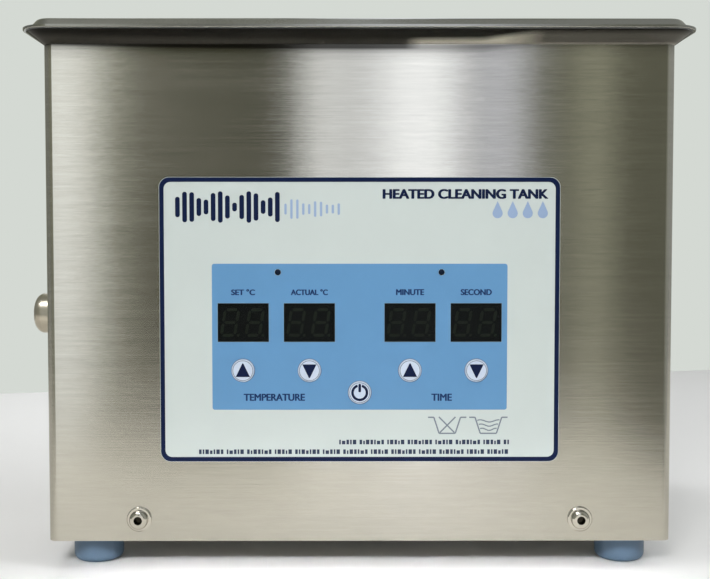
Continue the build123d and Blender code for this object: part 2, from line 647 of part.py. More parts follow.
with BuildPart() as drain_valve_plug:
    with BuildSketch(Plane.YZ.offset(PLUG_START)):
        with Locations((0, DRAIN_Z)):
            Circle(PLUG_R)
    extrude(amount=PLUG_END - PLUG_START)
    with BuildSketch(Plane.YZ.offset(PLUG_END)):
        with Locations((0, DRAIN_Z)):
            Circle(SHAFT_R)
    extrude(amount=SHAFT_END - PLUG_END)
    # drive flat on the shaft
    with BuildSketch(Plane.YZ.offset(KNOB_START)):
        with Locations((0, DRAIN_Z + FLAT_FROM + 2)):
            Rectangle(10, 4)
    extrude(amount=SHAFT_END - KNOB_START, mode=Mode.SUBTRACT)
    # hollow, with one side port that faces the front while the tap is shut
    with BuildSketch(Plane.YZ.offset(PLUG_START)):
        with Locations((0, DRAIN_Z)):
            Circle(PLUG_BORE_R)
    extrude(amount=PORT_X - PORT_R - 1 - PLUG_START, mode=Mode.SUBTRACT)
    with BuildSketch(Plane.XZ):
        with Locations((PORT_X, DRAIN_Z)):
            Circle(PORT_R)
    extrude(amount=PLUG_R + 1, mode=Mode.SUBTRACT)
    # two seal grooves and the tapped hole for the knob's screw
    for x in groove_x:
        with BuildSketch(Plane.YZ.offset(x)):
            with Locations((0, DRAIN_Z)):
                Circle(PLUG_R + 1)
                Circle(GROOVE_R, mode=Mode.SUBTRACT)
        extrude(amount=-GROOVE_W, mode=Mode.SUBTRACT)
    with BuildSketch(Plane.YZ.offset(SHAFT_END)):
        with Locations((0, DRAIN_Z)):
            Circle(M3_R + FIT)
    extrude(amount=6, mode=Mode.SUBTRACT)
save(drain_valve_plug, "drain_valve_plug")

with BuildPart() as drain_seals:
    for x in groove_x:
        with BuildSketch(Plane.YZ.offset(x - 0.1)):
            with Locations((0, DRAIN_Z)):
                Circle(PLUG_R + 0.02)
                Circle(GROOVE_R, mode=Mode.SUBTRACT)
        extrude(amount=-(GROOVE_W - 0.2))
save(drain_seals, "drain_seals")

KNOB_SINK_R, KNOB_SINK, KNOB_EDGE_R = 3.3, 2.2, 5.0

with BuildPart() as drain_knob:
    with BuildSketch(Plane.YZ.offset(KNOB_START)):
        with Locations((0, DRAIN_Z)):
            Circle(KNOB_R)
    extrude(amount=-KNOB_L)
    fillet(drain_knob.faces().sort_by(Axis.X)[0].edges(), KNOB_EDGE_R)
    chamfer(drain_knob.faces().sort_by(Axis.X)[-1].edges(), 0.5)
    # hollow skirt behind the face
    with BuildSketch(Plane.YZ.offset(KNOB_START)):
        with Locations((0, DRAIN_Z)):
            Circle(KNOB_R - 1.8)
            Circle(SHAFT_R + 2.2, mode=Mode.SUBTRACT)
    extrude(amount=-(KNOB_L - 4), mode=Mode.SUBTRACT)
    # flatted bore, screw hole and sunk seat
    with BuildSketch(Plane.YZ.offset(KNOB_START)):
        with Locations((0, DRAIN_Z)):
            Circle(SHAFT_R + FIT)
        with Locations((0, DRAIN_Z + FLAT_FROM + FIT + 2)):
            Rectangle(10, 4, mode=Mode.SUBTRACT)
    extrude(amount=SHAFT_END - 0.1 - KNOB_START, mode=Mode.SUBTRACT)
    with BuildSketch(Plane.YZ.offset(KNOB_END)):
        with Locations((0, DRAIN_Z)):
            Circle(M3_R + FIT)
    extrude(amount=5, mode=Mode.SUBTRACT)
    with BuildSketch(Plane.YZ.offset(KNOB_END)):
        with Locations((0, DRAIN_Z)):
            Circle(KNOB_SINK_R)
    extrude(amount=KNOB_SINK, mode=Mode.SUBTRACT)
    # pointer groove on the face, level while shut and upright while open
    with BuildSketch(Plane.YZ.offset(KNOB_END)):
        with Locations((-7.5, DRAIN_Z)):
            SlotOverall(6, 1.2)
    extrude(amount=0.6, mode=Mode.SUBTRACT)
save(drain_knob, "drain_knob")

with BuildPart() as drain_knob_screw:
    with BuildSketch(Plane.YZ.offset(KNOB_END + KNOB_SINK)):
        with Locations((0, DRAIN_Z)):
            Circle(M3_HEAD_R)
    extrude(amount=-M3_HEAD_H)
    fillet(drain_knob_screw.faces().sort_by(Axis.X)[0].edges(), 0.6)
    with BuildSketch(Plane.YZ.offset(KNOB_END + KNOB_SINK)):
        with Locations((0, DRAIN_Z)):
            Circle(M3_R)
    extrude(amount=6.5)
    with BuildSketch(Plane.YZ.offset(KNOB_END + KNOB_SINK - M3_HEAD_H)):
        with Locations((0, DRAIN_Z)):
            RegularPolygon(1.15, 6)
    extrude(amount=1.1, mode=Mode.SUBTRACT)
save(drain_knob_screw, "drain_knob_screw")

# ---------------------------------------------------------------- ultrasonic generator
GENERATOR_Z = TRAY_TOP + GENERATOR_POST_H  # underside of the board
ON_BOARD = GENERATOR_Z + BOARD_T

with BuildPart() as generator_board:
    with BuildSketch(Plane.XY.offset(GENERATOR_Z)):
        with Locations((GENERATOR_X, GENERATOR_Y)):
            RectangleRounded(GENERATOR_W, GENERATOR_D, 2)
        with Locations(*generator_hole_spots):
            Circle(M3_HOLE_R, mode=Mode.SUBTRACT)
    extrude(amount=BOARD_T)
save(generator_board, "generator_board")

with BuildPart() as generator_board_spacers:
    with BuildSketch(Plane.XY.offset(TRAY_TOP)):
        with Locations(*generator_hole_spots):
            RegularPolygon(3.4, 6)
            Circle(M3_R + FIT, mode=Mode.SUBTRACT)
    extrude(amount=GENERATOR_POST_H)
save(generator_board_spacers, "generator_board_spacers")

with BuildPart() as generator_board_screws:
    with BuildSketch(Plane.XY.offset(ON_BOARD)):
        with Locations(*generator_hole_spots):
            Circle(M3_HEAD_R)
    extrude(amount=M3_HEAD_H)
    fillet(generator_board_screws.faces().sort_by(Axis.Z)[-4:].edges(), 0.8)
    with BuildSketch(Plane.XY.offset(ON_BOARD)):
        with Locations(*generator_hole_spots):
            Circle(M3_R)
    extrude(amount=-(BOARD_T + 6))
    with BuildSketch(Plane.XY.offset(ON_BOARD + M3_HEAD_H)):
        with Locations(*generator_hole_spots):
            Rectangle(3.2, 0.7)
            Rectangle(0.7, 3.2)
    extrude(amount=-1.0, mode=Mode.SUBTRACT)
save(generator_board_screws, "generator_board_screws")

# output transformer: a laminated core with two windows and a coil on its middle leg
CORE_X, CORE_Y, CORE_W, CORE_D, CORE_H, LEG = -5.0, -20.0, 48.0, 40.0, 16.0, 16.0
CORE_Z = ON_BOARD + 8.5
core_window_w = (CORE_W - 2 * LEG) / 2
core_window_d = CORE_D - LEG

with BuildPart() as transformer_core:
    with BuildSketch(Plane.XY.offset(CORE_Z)):
        with Locations((CORE_X, CORE_Y)):
            Rectangle(CORE_W, CORE_D)
            with GridLocations(LEG + core_window_w, 0, 2, 1):
                Rectangle(core_window_w, core_window_d, mode=Mode.SUBTRACT)
    extrude(amount=CORE_H)
    with BuildSketch(Plane.XY.offset(ON_BOARD)):
        with Locations(*corners(CORE_X, CORE_Y, CORE_W / 2 - 3, CORE_D / 2 - 3)):
            Circle(2.5)
    extrude(amount=CORE_Z - ON_BOARD)
save(transformer_core, "transformer_core")

COIL_PLAY = 0.2
coil_out = LEG + 2 * core_window_w - 2 * COIL_PLAY

with BuildPart() as transformer_coil:
    with BuildSketch(facing_front(CORE_Y - core_window_d / 2 + COIL_PLAY)):
        with Locations((CORE_X, CORE_Z + CORE_H / 2)):
            RectangleRounded(coil_out, coil_out, 3)
            Rectangle(LEG + 2 * COIL_PLAY, CORE_H + 2 * COIL_PLAY, mode=Mode.SUBTRACT)
    extrude(amount=-(core_window_d - 2 * COIL_PLAY))
save(transformer_coil, "transformer_coil")

SINK_X, SINK_Y, SINK_L, SINK_D, SINK_H = -15.0, 28.0, 100.0, 16.0, 23.0
FIN_T, FIN_PITCH, SINK_BACK = 1.6, 4.9, 4.0

with BuildPart() as heat_sink:
    with BuildSketch(Plane.XY.offset(ON_BOARD)):
        with Locations((SINK_X, SINK_Y - SINK_D / 2 + SINK_BACK / 2)):
            Rectangle(SINK_L, SINK_BACK)
        with Locations((SINK_X, SINK_Y + SINK_BACK / 2)):
            with GridLocations(FIN_PITCH, 0, 21, 1):
                Rectangle(FIN_T, SINK_D - SINK_BACK)
    extrude(amount=SINK_H)
save(heat_sink, "heat_sink")

with BuildPart() as power_transistors:
    for x in (-48, -15, 18):
        with Locations((x, SINK_Y - SINK_D / 2 - BOND, ON_BOARD + 3)):
            Box(15.6, 5, 19, align=(Align.CENTER, Align.MAX, Align.MIN))
        with Locations(*[(x + i * 5.4, SINK_Y - SINK_D / 2 - BOND - 2.5, ON_BOARD) for i in (-1, 0, 1)]):
            Box(1.2, 0.6, 3, align=ON_BASE)
save(power_transistors, "power_transistors")

CAN_TOP_GROOVE = 2.5
CANS = ((36, -50, 9, 23), (36, -28, 9, 23), (-76, -48, 6.3, 20), (-76, -32, 6.3, 20))

with BuildPart() as capacitors:
    for x, y, radius, height in CANS:
        with Locations((x, y, ON_BOARD)):
            Cylinder(radius, height, align=ON_BASE)
        with BuildSketch(Plane.XY.offset(ON_BOARD + CAN_TOP_GROOVE)):
            with Locations((x, y)):
                Circle(radius + 1)
                Circle(radius - 0.5, mode=Mode.SUBTRACT)
        extrude(amount=1.2, mode=Mode.SUBTRACT)
save(capacitors, "capacitors")

# ---------------------------------------------------------------- cooling fan
DUCT_R, MOTOR_R, FAN_SHAFT_R = 28.5, 13.0, 1.5
FAN_FRONT = BACK_IN - FAN_DEPTH
HUB_R, HUB_START, HUB_END = 12.5, FAN_FRONT + 4.0, BACK_IN - 1.5
BLADES, BLADE_T = 7, 1.4
fan_screw_r = M4_R + FIT

with BuildPart() as fan_frame:
    with BuildSketch(facing_front(BACK_IN)):
        with Locations((FAN_X, FAN_Z)):
            RectangleRounded(FAN_SIZE, FAN_SIZE, 3)
            Circle(DUCT_R, mode=Mode.SUBTRACT)
    extrude(amount=FAN_DEPTH)
    with BuildSketch(facing_front(FAN_FRONT)):
        with Locations((FAN_X, FAN_Z)):
            Circle(MOTOR_R)
            with PolarLocations((MOTOR_R + DUCT_R) / 2, 4, start_angle=20):
                Rectangle(DUCT_R - MOTOR_R + 3, 4)
    extrude(amount=-3)
    with BuildSketch(facing_front(FAN_FRONT)):
        with Locations((FAN_X, FAN_Z)):
            Circle(9)
    extrude(amount=-9)
    with BuildSketch(facing_front(FAN_FRONT)):
        with Locations((FAN_X, FAN_Z)):
            Circle(FAN_SHAFT_R)
    extrude(amount=-17)
    with BuildSketch(facing_front(BACK_IN)):
        with Locations(*fan_hole_spots):
            Circle(fan_screw_r)
    extrude(amount=FAN_DEPTH, mode=Mode.SUBTRACT)
save(fan_frame, "fan_frame")

with BuildPart() as fan_rotor:
    with BuildSketch(facing_front(HUB_END)):
        with Locations((FAN_X, FAN_Z)):
            Circle(HUB_R)
    extrude(amount=HUB_END - HUB_START)
    blade_y = (HUB_START + HUB_END) / 2
    for blade in range(BLADES):
        angle = 2 * math.pi * blade / BLADES
        outward = Vector(math.cos(angle), 0, math.sin(angle))
        for radius, chord, pitch in ((HUB_R - 0.8, 14, 42), (26.3, 17, 62)):
            station = Vector(FAN_X, blade_y, FAN_Z) + outward * radius
            with BuildSketch(Plane(origin=station, x_dir=(0, 1, 0), z_dir=outward)):
                SlotOverall(chord, BLADE_T, rotation=pitch)
        loft()
    with BuildSketch(facing_front(HUB_START)):
        with Locations((FAN_X, FAN_Z)):
            Circle(HUB_R - 1.5)
            Circle(3.5, mode=Mode.SUBTRACT)
    extrude(amount=-(HUB_END - HUB_START - 2), mode=Mode.SUBTRACT)
    with BuildSketch(facing_front(HUB_START)):
        with Locations((FAN_X, FAN_Z)):
            Circle(3.5)
    extrude(amount=-5.5, mode=Mode.SUBTRACT)
    with BuildSketch(facing_front(HUB_START)):
        with Locations((FAN_X, FAN_Z)):
            Circle(FAN_SHAFT_R + FIT)
    extrude(amount=-(FAN_FRONT + 17.3 - HUB_START), mode=Mode.SUBTRACT)
save(fan_rotor, "fan_rotor")

GUARD_T, GUARD_WIRE_R = 1.6, 0.9
GUARD_ARM = FAN_HOLE_PITCH * math.sqrt(2)

with BuildPart() as fan_guard:
    with BuildSketch(facing_front(BACK + GUARD_T)):
        with Locations((FAN_X, FAN_Z)):
            SlotCenterToCenter(GUARD_ARM, 2.4, rotation=45)
            SlotCenterToCenter(GUARD_ARM, 2.4, rotation=-45)
        with Locations(*fan_hole_spots):
            Circle(4.4)
            Circle(fan_screw_r, mode=Mode.SUBTRACT)
    extrude(amount=GUARD_T)
    with Locations(Location((FAN_X, BACK + GUARD_T + 0.4, FAN_Z), (90, 0, 0))):
        for ring in (6, 12, 18, 24, 29):
            Torus(ring, GUARD_WIRE_R)
save(fan_guard, "fan_guard")

with BuildPart() as fan_screws:
    with BuildSketch(facing_front(BACK + GUARD_T + 2.4)):
        with Locations(*fan_hole_spots):
            Circle(3.7)
    extrude(amount=2.4)
    fillet(fan_screws.faces().sort_by(Axis.Y)[-4:].edges(), 1.0)
    with BuildSketch(facing_front(BACK + GUARD_T)):
        with Locations(*fan_hole_spots):
            Circle(M4_R)
    extrude(amount=14)
    with BuildSketch(facing_front(BACK + GUARD_T + 2.4)):
        with Locations(*fan_hole_spots):
            Rectangle(4.4, 0.9)
            Rectangle(0.9, 4.4)
    extrude(amount=1.4, mode=Mode.SUBTRACT)
save(fan_screws, "fan_screws")

# ---------------------------------------------------------------- power inlet with fuse drawer
BEZEL_W, BEZEL_H, BEZEL_T = 50.0, 37.0, 2.5
BEZEL_FACE = BACK + BEZEL_T
INLET_IN = BACK - 28.0
SOCKET_Z, SOCKET_W, SOCKET_H, SOCKET_DEEP = INLET_Z + 6.0, 24.0, 16.2, 16.5
DRAWER_Z, DRAWER_W, DRAWER_H, DRAWER_DEEP = INLET_Z - 9.5, 20.0, 9.0, 25.0
pin_spots = [(INLET_X - 7, SOCKET_Z - 2), (INLET_X, SOCKET_Z + 2), (INLET_X + 7, SOCKET_Z - 2)]

with BuildPart() as power_inlet:
    with BuildSketch(facing_front(BEZEL_FACE)):
        with Locations((INLET_X, INLET_Z)):
            RectangleRounded(BEZEL_W, BEZEL_H, 4)
    extrude(amount=BEZEL_T)
    fillet(power_inlet.faces().sort_by(Axis.Y)[-1].edges(), 0.8)
    with BuildSketch(facing_front(BACK)):
        with Locations((INLET_X, INLET_Z)):
            Rectangle(INLET_BODY_W, INLET_BODY_H)
    extrude(amount=BACK - INLET_IN)
    # socket with two clipped corners
    with BuildSketch(facing_front(BEZEL_FACE)) as socket_mouth:
        with Locations((INLET_X, SOCKET_Z)):
            Rectangle(SOCKET_W, SOCKET_H)
        chamfer(socket_mouth.vertices().group_by(Axis.Z)[-1], 4)
    extrude(amount=SOCKET_DEEP, mode=Mode.SUBTRACT)
    with BuildSketch(facing_front(BEZEL_FACE)):
        with Locations((INLET_X, DRAWER_Z)):
            Rectangle(DRAWER_W, DRAWER_H)
    extrude(amount=DRAWER_DEEP, mode=Mode.SUBTRACT)
    with BuildSketch(facing_front(BEZEL_FACE)):
        with Locations(*pin_spots):
            Rectangle(2, 4)
        with Locations(*inlet_screw_spots):
            Circle(M3_R + FIT)
    extrude(amount=40, mode=Mode.SUBTRACT)
save(power_inlet, "power_inlet")

with BuildPart() as inlet_pins:
    with BuildSketch(facing_front(BEZEL_FACE - 4)):
        with Locations(*pin_spots):
            Rectangle(2, 4)
    extrude(amount=BEZEL_FACE - 4 - INLET_IN)
    chamfer(inlet_pins.faces().sort_by(Axis.Y)[-3:].edges(), 0.4)
    with BuildSketch(facing_front(INLET_IN)):
        with Locations(*pin_spots):
            Rectangle(0.8, 4)
    extrude(amount=8)
save(inlet_pins, "inlet_pins")

with BuildPart() as inlet_screws:
    with BuildSketch(facing_front(BEZEL_FACE + M3_HEAD_H)):
        with Locations(*inlet_screw_spots):
            Circle(M3_HEAD_R)
    extrude(amount=M3_HEAD_H)
    fillet(inlet_screws.faces().sort_by(Axis.Y)[-2:].edges(), 0.8)
    with BuildSketch(facing_front(BEZEL_FACE)):
        with Locations(*inlet_screw_spots):
            Circle(M3_R)
    extrude(amount=8)
    with BuildSketch(facing_front(BACK_IN)):
        with Locations(*inlet_screw_spots):
            RegularPolygon(3.2, 6)
    extrude(amount=2.4)
    with BuildSketch(facing_front(BEZEL_FACE + M3_HEAD_H)):
        with Locations(*inlet_screw_spots):
            Rectangle(3.4, 0.7)
            Rectangle(0.7, 3.4)
    extrude(amount=1.0, mode=Mode.SUBTRACT)
save(inlet_screws, "inlet_screws")

DRAWER_PLAY = 0.15
FUSE_R, FUSE_L = 2.6, 20.0
DRAWER_BACK = BEZEL_FACE - DRAWER_DEEP + 0.5

with BuildPart() as fuse_drawer:
    with BuildSketch(facing_front(BEZEL_FACE + 1.0)):
        with Locations((INLET_X, DRAWER_Z)):
            Rectangle(DRAWER_W - 2 * DRAWER_PLAY, DRAWER_H - 2 * DRAWER_PLAY)
    extrude(amount=BEZEL_FACE + 1.0 - DRAWER_BACK)
    with BuildSketch(facing_front(BEZEL_FACE + 1.6)):
        with Locations((INLET_X, DRAWER_Z)):
            RectangleRounded(DRAWER_W + 1.6, DRAWER_H + 0.8, 1.2)
    extrude(amount=1.6 - FIT)
    # finger notch and the fuse's bed
    with BuildSketch(facing_front(BEZEL_FACE + 1.6)):
        with Locations((INLET_X, DRAWER_Z - DRAWER_H / 2)):
            SlotOverall(9, 3)
    extrude(amount=1.0, mode=Mode.SUBTRACT)
    with Locations((INLET_X, DRAWER_BACK + 1.6, DRAWER_Z - 0.4 - FUSE_R - FIT)):
        Box(
            2 * FUSE_R + 0.5,
            FUSE_L + 0.6,
            DRAWER_H,
            align=(Align.CENTER, Align.MIN, Align.MIN),
            mode=Mode.SUBTRACT,
        )
save(fuse_drawer, "fuse_drawer")

with BuildPart() as fuse:
    with BuildSketch(facing_front(DRAWER_BACK + 1.9 + FUSE_L)):
        with Locations((INLET_X, DRAWER_Z - 0.4)):
            Circle(FUSE_R)
    extrude(amount=5)
    with BuildSketch(facing_front(DRAWER_BACK + 1.9 + FUSE_L - 5)):
        with Locations((INLET_X, DRAWER_Z - 0.4)):
            Circle(FUSE_R - 0.25)
    extrude(amount=FUSE_L - 10)
    with BuildSketch(facing_front(DRAWER_BACK + 1.9 + 5)):
        with Locations((INLET_X, DRAWER_Z - 0.4)):
            Circle(FUSE_R)
    extrude(amount=5)
save(fuse, "fuse")

# ---------------------------------------------------------------- cables
RIBBON_X, RIBBON_W, RIBBON_T = 25.0, 24.0, 1.0
PLUG_DEEP = 5.0
ribbon_top = LOW + BOARD_UP - BOARD_H / 2 + 8
ribbon_end_y = GENERATOR_Y - GENERATOR_D / 2 + 4

with BuildPart() as ribbon_cable:
    with BuildSketch(facing_front(BOARD_BACK + PLUG_DEEP)):
        with Locations((RIBBON_X, ribbon_top)):
            Rectangle(RIBBON_W + 4, 6)
    extrude(amount=PLUG_DEEP)
    with Locations((RIBBON_X, ribbon_end_y, ON_BOARD)):
        Box(RIBBON_W + 4, 6, PLUG_DEEP, align=ON_BASE)
    with BuildSketch(Plane.YZ.offset(RIBBON_X - RIBBON_W / 2)):
        with BuildLine():
            FilletPolyline(
                (BOARD_BACK + PLUG_DEEP - 1, ribbon_top),
                (BOARD_BACK + PLUG_DEEP + 6, ribbon_top),
                (BOARD_BACK + PLUG_DEEP + 6, ON_BOARD + 22),
                (ribbon_end_y, ON_BOARD + 16),
                (ribbon_end_y, ON_BOARD + PLUG_DEEP - 1),
                radius=4,
            )
        trace(line_width=RIBBON_T)
    extrude(amount=RIBBON_W)
save(ribbon_cable, "ribbon_cable")

LEAD_R, LEAD_BEND_R = 1.1, 4.0
tag_y = INLET_IN - 8
tab_z = plates_low[0] - BOND
pad_low_z = PAD_Z - PAD_H / 2 - 0.5
pad_y = tank_wall_y(pad_low_z) + 1.5
leads = [
    # mains, from the inlet's tags to the generator board
    [(-112, tag_y, 64), (-112, 48, 64), (-80, 48, 38), (-80, 22, 38), (-80, 22, ON_BOARD)],
    [(-105, tag_y, 68), (-105, 52, 68), (-75, 52, 38), (-75, 22, 38), (-75, 22, ON_BOARD)],
    [(-98, tag_y, 64), (-98, 59, 64), (-70, 59, 38), (-70, 22, 38), (-70, 22, ON_BOARD)],
    # one lead to each transducer
    [(-70, -17.5, tab_z), (-70, -17.5, 60), (-68, -17.5, 50), (-68, -17.5, ON_BOARD)],
    [(70, -17.5, tab_z), (70, -17.5, 42), (50, -17.5, 42), (50, -17.5, ON_BOARD)],
    [(-70, 66.5, tab_z), (-70, 66.5, 44), (-70, 10, 44), (-70, 10, ON_BOARD)],
    [(70, 66.5, tab_z), (70, 66.5, 42), (48, 66.5, 42), (48, 28, 42), (48, 28, ON_BOARD)],
    # fan
    [(95, FAN_FRONT, 66), (95, 75, 66), (95, 75, 34), (42, 75, 34), (42, 24, 34), (42, 24, ON_BOARD)],
    # heater pads
    [(-86, -pad_y, pad_low_z), (-86, -pad_y, 40), (-86, -50, 40), (-86, -50, ON_BOARD)],
    [(-60, pad_y, pad_low_z), (-60, pad_y, 49), (-60, 38, 49), (-60, 38, ON_BOARD)],
]

with BuildPart() as wiring:
    for points in leads:
        with BuildLine() as run:
            FilletPolyline(*points, radius=LEAD_BEND_R)
        with BuildSketch(Plane(origin=run.line @ 0, z_dir=run.line % 0)):
            Circle(LEAD_R)
        sweep(path=run.line)
save(wiring, "wiring")
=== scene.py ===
"""Looks, printed panel, lighting and camera for the bench-top ultrasonic cleaner."""

import math

import bpy
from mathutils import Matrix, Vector


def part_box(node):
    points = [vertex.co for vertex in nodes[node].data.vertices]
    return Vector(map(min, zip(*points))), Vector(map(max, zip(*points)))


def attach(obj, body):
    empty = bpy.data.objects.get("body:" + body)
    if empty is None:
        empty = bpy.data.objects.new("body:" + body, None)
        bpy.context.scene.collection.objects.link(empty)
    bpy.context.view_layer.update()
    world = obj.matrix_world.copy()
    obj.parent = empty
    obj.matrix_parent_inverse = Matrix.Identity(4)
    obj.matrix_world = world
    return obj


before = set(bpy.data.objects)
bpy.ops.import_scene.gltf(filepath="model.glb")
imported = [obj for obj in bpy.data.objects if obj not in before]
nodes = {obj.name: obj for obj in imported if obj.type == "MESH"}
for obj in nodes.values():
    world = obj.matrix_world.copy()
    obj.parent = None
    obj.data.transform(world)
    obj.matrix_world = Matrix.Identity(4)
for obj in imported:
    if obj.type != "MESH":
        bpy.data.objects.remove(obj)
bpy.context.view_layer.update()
MM = 0.001


# ------------------------------------------------------------------ colours and node helpers
def srgb(r, g, b, a=1.0):
    """A colour given as 0-255 display values, as linear light."""
    def one(v):
        v /= 255
        return v / 12.92 if v <= 0.04045 else ((v + 0.055) / 1.055) ** 2.4
    return (one(r), one(g), one(b), a)


def shaded(colour, factor):
    return (colour[0] * factor, colour[1] * factor, colour[2] * factor, 1.0)


class Tree:
    """A small wrapper that makes and links the shader nodes of a material or of the world."""

    def __init__(self, owner, output="ShaderNodeOutputMaterial"):
        self.owner = owner
        owner.use_nodes = True
        self.tree = owner.node_tree
        self.tree.nodes.clear()
        self.out = self.node(output)
        self.coord = self.node("ShaderNodeTexCoord")

    def node(self, kind, inputs=None, **settings):
        made = self.tree.nodes.new(kind)
        for key, value in settings.items():
            setattr(made, key, value)
        for key, value in (inputs or {}).items():
            self.put(made.inputs[key], value)
        return made

    def put(self, socket, value):
        if hasattr(value, "is_output"):
            self.tree.links.new(value, socket)
        else:
            socket.default_value = value

    def axes(self):
        """Object coordinates as separate X, Y and Z values."""
        return self.node("ShaderNodeSeparateXYZ", {"Vector": self.coord.outputs["Object"]}).outputs

    def stretched(self, scale):
        """Object coordinates stretched along each axis."""
        return self.node(
            "ShaderNodeMapping", {"Vector": self.coord.outputs["Object"], "Scale": scale}
        ).outputs["Vector"]

    def noise(self, vector, detail=2.0, rough=0.5):
        return self.node(
            "ShaderNodeTexNoise", {"Vector": vector, "Scale": 1.0, "Detail": detail, "Roughness": rough}
        ).outputs["Fac"]

    def remap(self, value, low, high, start=0.3, end=0.7):
        """Low at the start value, high at the end value, and clamped outside them."""
        return self.node(
            "ShaderNodeMapRange",
            {"Value": value, "From Min": start, "From Max": end, "To Min": low, "To Max": high},
        ).outputs["Result"]

    def math(self, operation, a, b=0.0):
        return self.node("ShaderNodeMath", {0: a, 1: b}, operation=operation).outputs["Value"]

    def blend(self, factor, a, b):
        return self.node(
            "ShaderNodeMix", {"Factor": factor, "A": a, "B": b}, data_type="RGBA", blend_type="MIX"
        ).outputs["Result"]

    def bump(self, height, strength, distance):
        return self.node(
            "ShaderNodeBump", {"Height": height, "Strength": strength, "Distance": distance}
        ).outputs["Normal"]

    def choice(self, factor, low, high):
        """One shader where the factor is 0 and another where it is 1."""
        return self.node("ShaderNodeMixShader", {0: factor, 1: low, 2: high}).outputs["Shader"]

    def surface(self, shader):
        self.tree.links.new(shader, self.out.inputs["Surface"])
        return self.owner

    def principled(self, inputs):
        return self.surface(self.node("ShaderNodeBsdfPrincipled", inputs).outputs["BSDF"])


def new_tree(name):
    return Tree(bpy.data.materials.new(name))


# ------------------------------------------------------------------ brushed steel
# all in millimetres: heights count from where the casing's wall starts to bend out
LIP_HEIGHT = 5.9
BEND, BEND_DARK = (-1.1, 0), 0.10
EDGE, EDGE_DARK = (2.5, 4.5), 0.03
WALL_SHADES, WALL_DARK = ((0.22, -7.5, -2.0), (0.45, -3.0, -1.0)), 0.2
# the shade hangs lower in the middle of the front, and ends higher at the right
SAG, SAG_REACH = 1.8, 150
RIGHT_RISE, RISE_SPAN = -1.1, (60, 85)
# the lit stretch: where it starts and fades, what is left past it, and its strength on wall and lip
LIT_START, LIT_FADE, LIT_LEAST = (22, 30), (70, 90), 0.12
WALL_LIT, LIP_LIT, LIT_STEP = 0.32, 0.95, (-0.5, 0.5)


def lip_shading(t, base, colour, lip):
    """Soft shade where the wall bends out under the rim, with one lit stretch right of the middle."""
    axes = t.axes()
    side = axes["X"]

    def along(value, low, high, start, end):
        return t.remap(value, low, high, start * MM, end * MM)

    def above(value, low, high, start, end):
        return t.remap(value, low, high, lip + start * MM, lip + end * MM)

    sag = t.remap(t.math("MULTIPLY", side, side), SAG * MM, 0, 0, (SAG_REACH * MM) ** 2)
    sag = along(side, sag, RIGHT_RISE * MM, *RISE_SPAN)
    height = t.math("ADD", axes["Z"], sag)
    for strength, start, end in WALL_SHADES:
        base = t.blend(above(height, 0, strength, start, end), base, shaded(colour, WALL_DARK))
    lit = t.math("MULTIPLY", along(side, 0, 1, *LIT_START), along(side, 1, LIT_LEAST, *LIT_FADE))
    lit = t.math("MULTIPLY", lit, above(axes["Z"], WALL_LIT, LIP_LIT, *LIT_STEP))
    under = t.blend(lit, shaded(colour, BEND_DARK), colour)
    base = t.blend(above(height, 0, 1, *BEND), base, under)
    return t.blend(above(height, 0, 1, *EDGE), base, shaded(colour, EDGE_DARK))


def darker_outer_rim(t, base, colour, limits):
    """Darker base colour on the outer part of the rim, past the given distances from the middle."""
    axes = t.axes()
    past = [t.math("SUBTRACT", t.math("ABSOLUTE", axes[axis]), limit) for axis, limit in zip("XY", limits)]
    outer_part = t.remap(t.math("MAXIMUM", *past), 0, 1, 1.2 * MM, 2.8 * MM)
    return t.blend(outer_part, base, shaded(colour, 0.56))


def brushed(
    name, colour, rough, aniso=1.0, along=(9, 9, 1500), tangent=(0, 0, 1), grain=0.05,
    lip=None, darker_past=None,
):
    """Brushed metal: long streaks, short flecks and a broad drift of shade, all drawn out along the
    low-scale axes, faint clouds of haze, and reflections smeared across the brushing.
    """
    t = new_tree(name)
    x, y, z = along
    streaks = t.noise(t.stretched(along), detail=3.0, rough=0.65)
    flecks = t.noise(t.stretched((x * 9, y * 9, z * 0.4)), rough=0.6)
    broad = t.noise(t.stretched((x * 0.8, y * 0.8, z * 0.12)))
    cloud = t.noise(t.stretched((14, 14, 14)), detail=3.0)
    mixed = t.math("ADD", t.math("MULTIPLY", streaks, 0.65), t.math("MULTIPLY", broad, 0.35))
    base = t.blend(t.remap(mixed, 0, 1, 0.36, 0.64), shaded(colour, 1 - grain), shaded(colour, 1 + grain))
    base = t.blend(t.remap(flecks, 0, 0.35), base, shaded(colour, 0.85))
    base = t.blend(t.remap(cloud, 0, 0.06), base, shaded(colour, 0.7))
    if lip:
        base = lip_shading(t, base, colour, lip)
    if darker_past:
        base = darker_outer_rim(t, base, colour, darker_past)
    return t.principled({
        "Base Color": base,
        "Metallic": 1.0,
        "Roughness": t.math("ADD", t.remap(mixed, rough - 0.02, rough + 0.02), t.remap(cloud, -0.01, 0.01)),
        "Anisotropic": aniso,
        "Tangent": t.node("ShaderNodeCombineXYZ", dict(zip("XYZ", tangent))).outputs["Vector"],
        "Normal": t.bump(t.blend(0.5, streaks, flecks), 0.5, 0.00007),
    })


# ------------------------------------------------------------------ other metals
# near-black colour for the painted shade inside screw sockets
SOCKET_SHADE = (0.02, 0.018, 0.014, 1.0)


def inside_sockets(t, spot, radius):
    """1 within a radius of the sockets that stand at plus and minus spot, seen along Y."""
    axes = t.axes()
    away = [t.math("SUBTRACT", t.math("ABSOLUTE", axes[axis]), offset) for axis, offset in zip("XZ", spot)]
    offset = t.node("ShaderNodeCombineXYZ", dict(zip("XY", away))).outputs["Vector"]
    distance = t.node("ShaderNodeVectorMath", {0: offset}, operation="LENGTH").outputs["Value"]
    return t.math("LESS_THAN", distance, radius)


